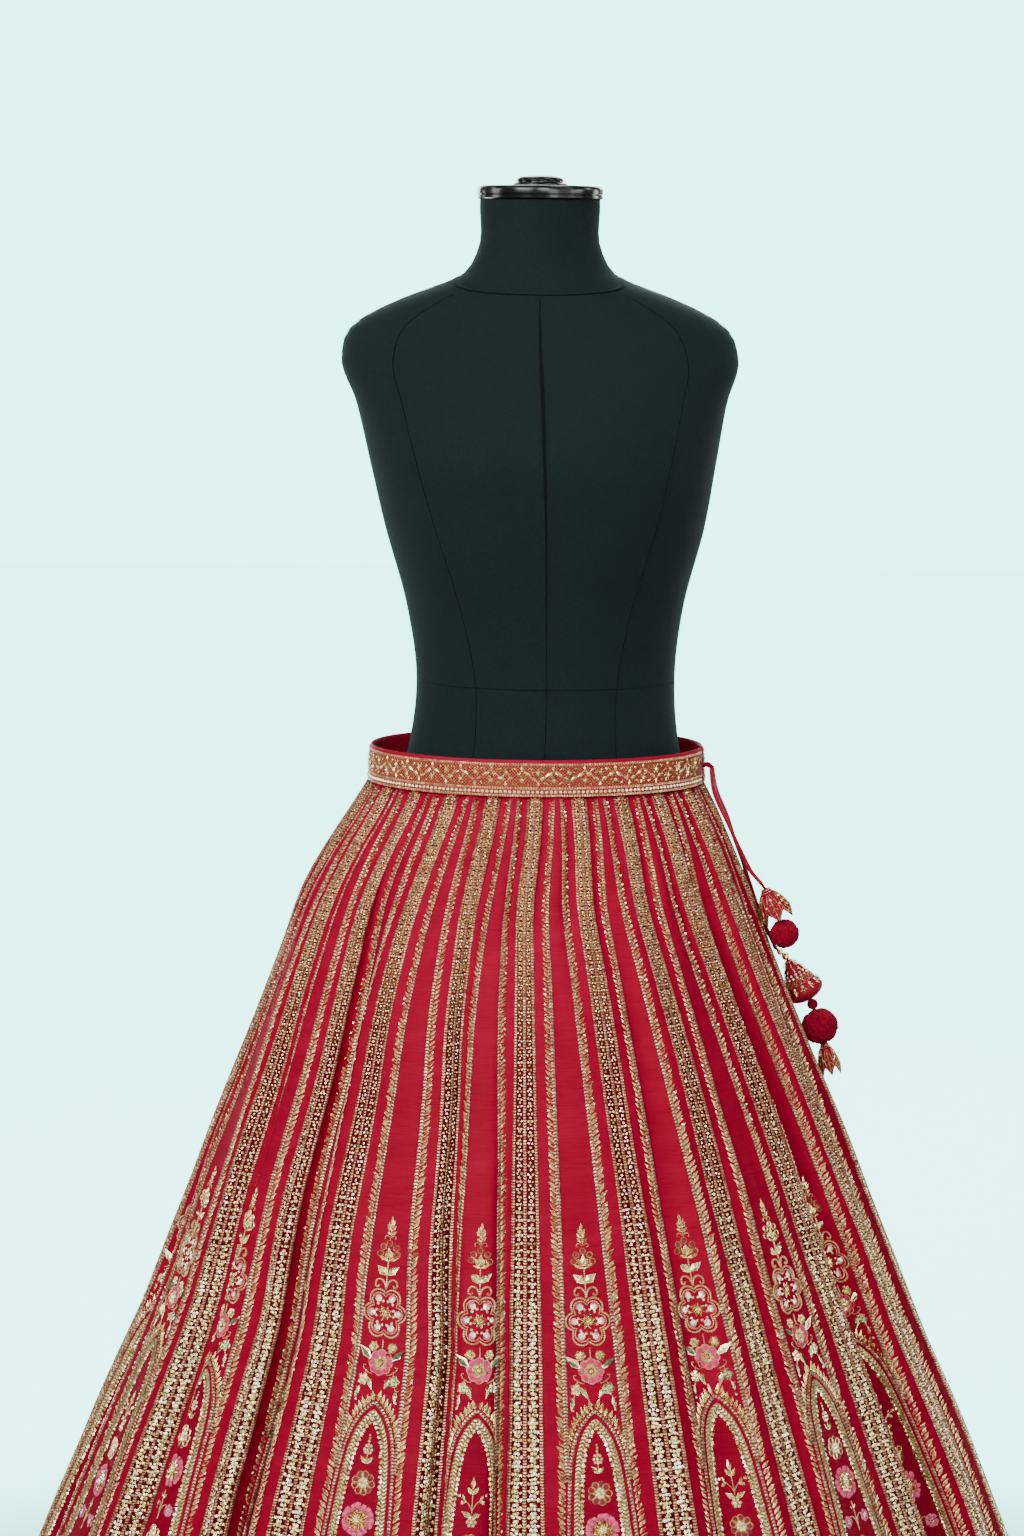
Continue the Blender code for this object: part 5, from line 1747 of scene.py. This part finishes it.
# --- Floor and light --------------------------------------------------------------------------
# A plain pale floor that glows, dim round the skirt and bright farther out: the dim ring is a painted soft
# shadow.
# A soft studio: the key hangs high on the wearer's right with a small lamp in front, a weak fill opposite and a
# lamp behind. Metal reflects a dim room with bright panels.
def pale_floor_with_painted_shadow():
    look = Finish("pale_floor_with_painted_shadow")
    level = {0: look.object_place(), 1: (1.0, 1.0, 0.0)}
    flat = look.node("ShaderNodeVectorMath", {"operation": "MULTIPLY"}, level)
    away = look.node("ShaderNodeVectorMath", {"operation": "LENGTH"}, {0: flat}, "Value")
    # painted shadow: the floor's glow is dim within 0.6 m of the skirt and rises to bright studio white by 1.15
    # m
    bright = look.mix((0.16, 0.22, 0.22), (1.45, 5.6, 5.0), away.between(0.60, 1.15))
    return look.surface(Base_Color=(0.66, 0.73, 0.73), Roughness=0.7, Specular_IOR_Level=0.2,
                        Emission_Color=bright, Emission_Strength=1.0)


floor_points = [(-14, -14, 0), (14, -14, 0), (14, 14, 0), (-14, 14, 0)]
floor = add_piece("floor", floor_points, [(0, 1, 2, 3)], pale_floor_with_painted_shadow(), smooth=False)
floor.visible_diffuse = False
floor.visible_glossy = False
floor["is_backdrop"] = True

world = bpy.data.worlds.new("studio")
bpy.context.scene.world = world
world.use_nodes = True
room = Nodes(world.node_tree)
ray = room.node("ShaderNodeLightPath")
way = room.node("ShaderNodeTexCoord").other("Generated")
panels = room.node("ShaderNodeTexNoise", {}, {"Vector": way, "Scale": 2.6, "Detail": 0.0})
edge = room.node("ShaderNodeMapRange", {}, {"Value": panels, "From Min": 0.62, "From Max": 0.66})
in_metal = room.mix((0.30, 0.33, 0.29), (10.0, 10.5, 9.6), edge)
unseen = room.mix((0.130, 0.158, 0.160), in_metal, ray.other("Is Glossy Ray"))
background = world.node_tree.nodes["Background"].inputs
room.feed(background["Color"], room.mix(unseen, (1.70, 6.2, 5.5), ray.other("Is Camera Ray")))
background["Strength"].default_value = 1.0


def lamp(name, at, to, size, power, spread=180):
    data = bpy.data.lights.new(name, "AREA")
    data.size, data.energy, data.spread = size, power, radians(spread)
    made = bpy.data.objects.new(name, data)
    made.location = at
    made.rotation_euler = (Vector(to) - Vector(at)).to_track_quat("-Z", "Y").to_euler()
    bpy.context.scene.collection.objects.link(made)


lamp("key", (-1.8, -3.1, 3.0), (0.0, 0, 1.35), 2.0, 41, 76)
lamp("front", (0.3, -3.7, 2.8), (0, 0, 1.3), 1.3, 13, 80)
lamp("fill", (2.8, -2.4, 1.8), (0, 0, 0.7), 2.0, 30)
lamp("back", (0.6, 3.2, 2.8), (0, 0, 0.8), 2.0, 70)

size = [list(corner) for corner in (*cad_box, *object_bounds())]
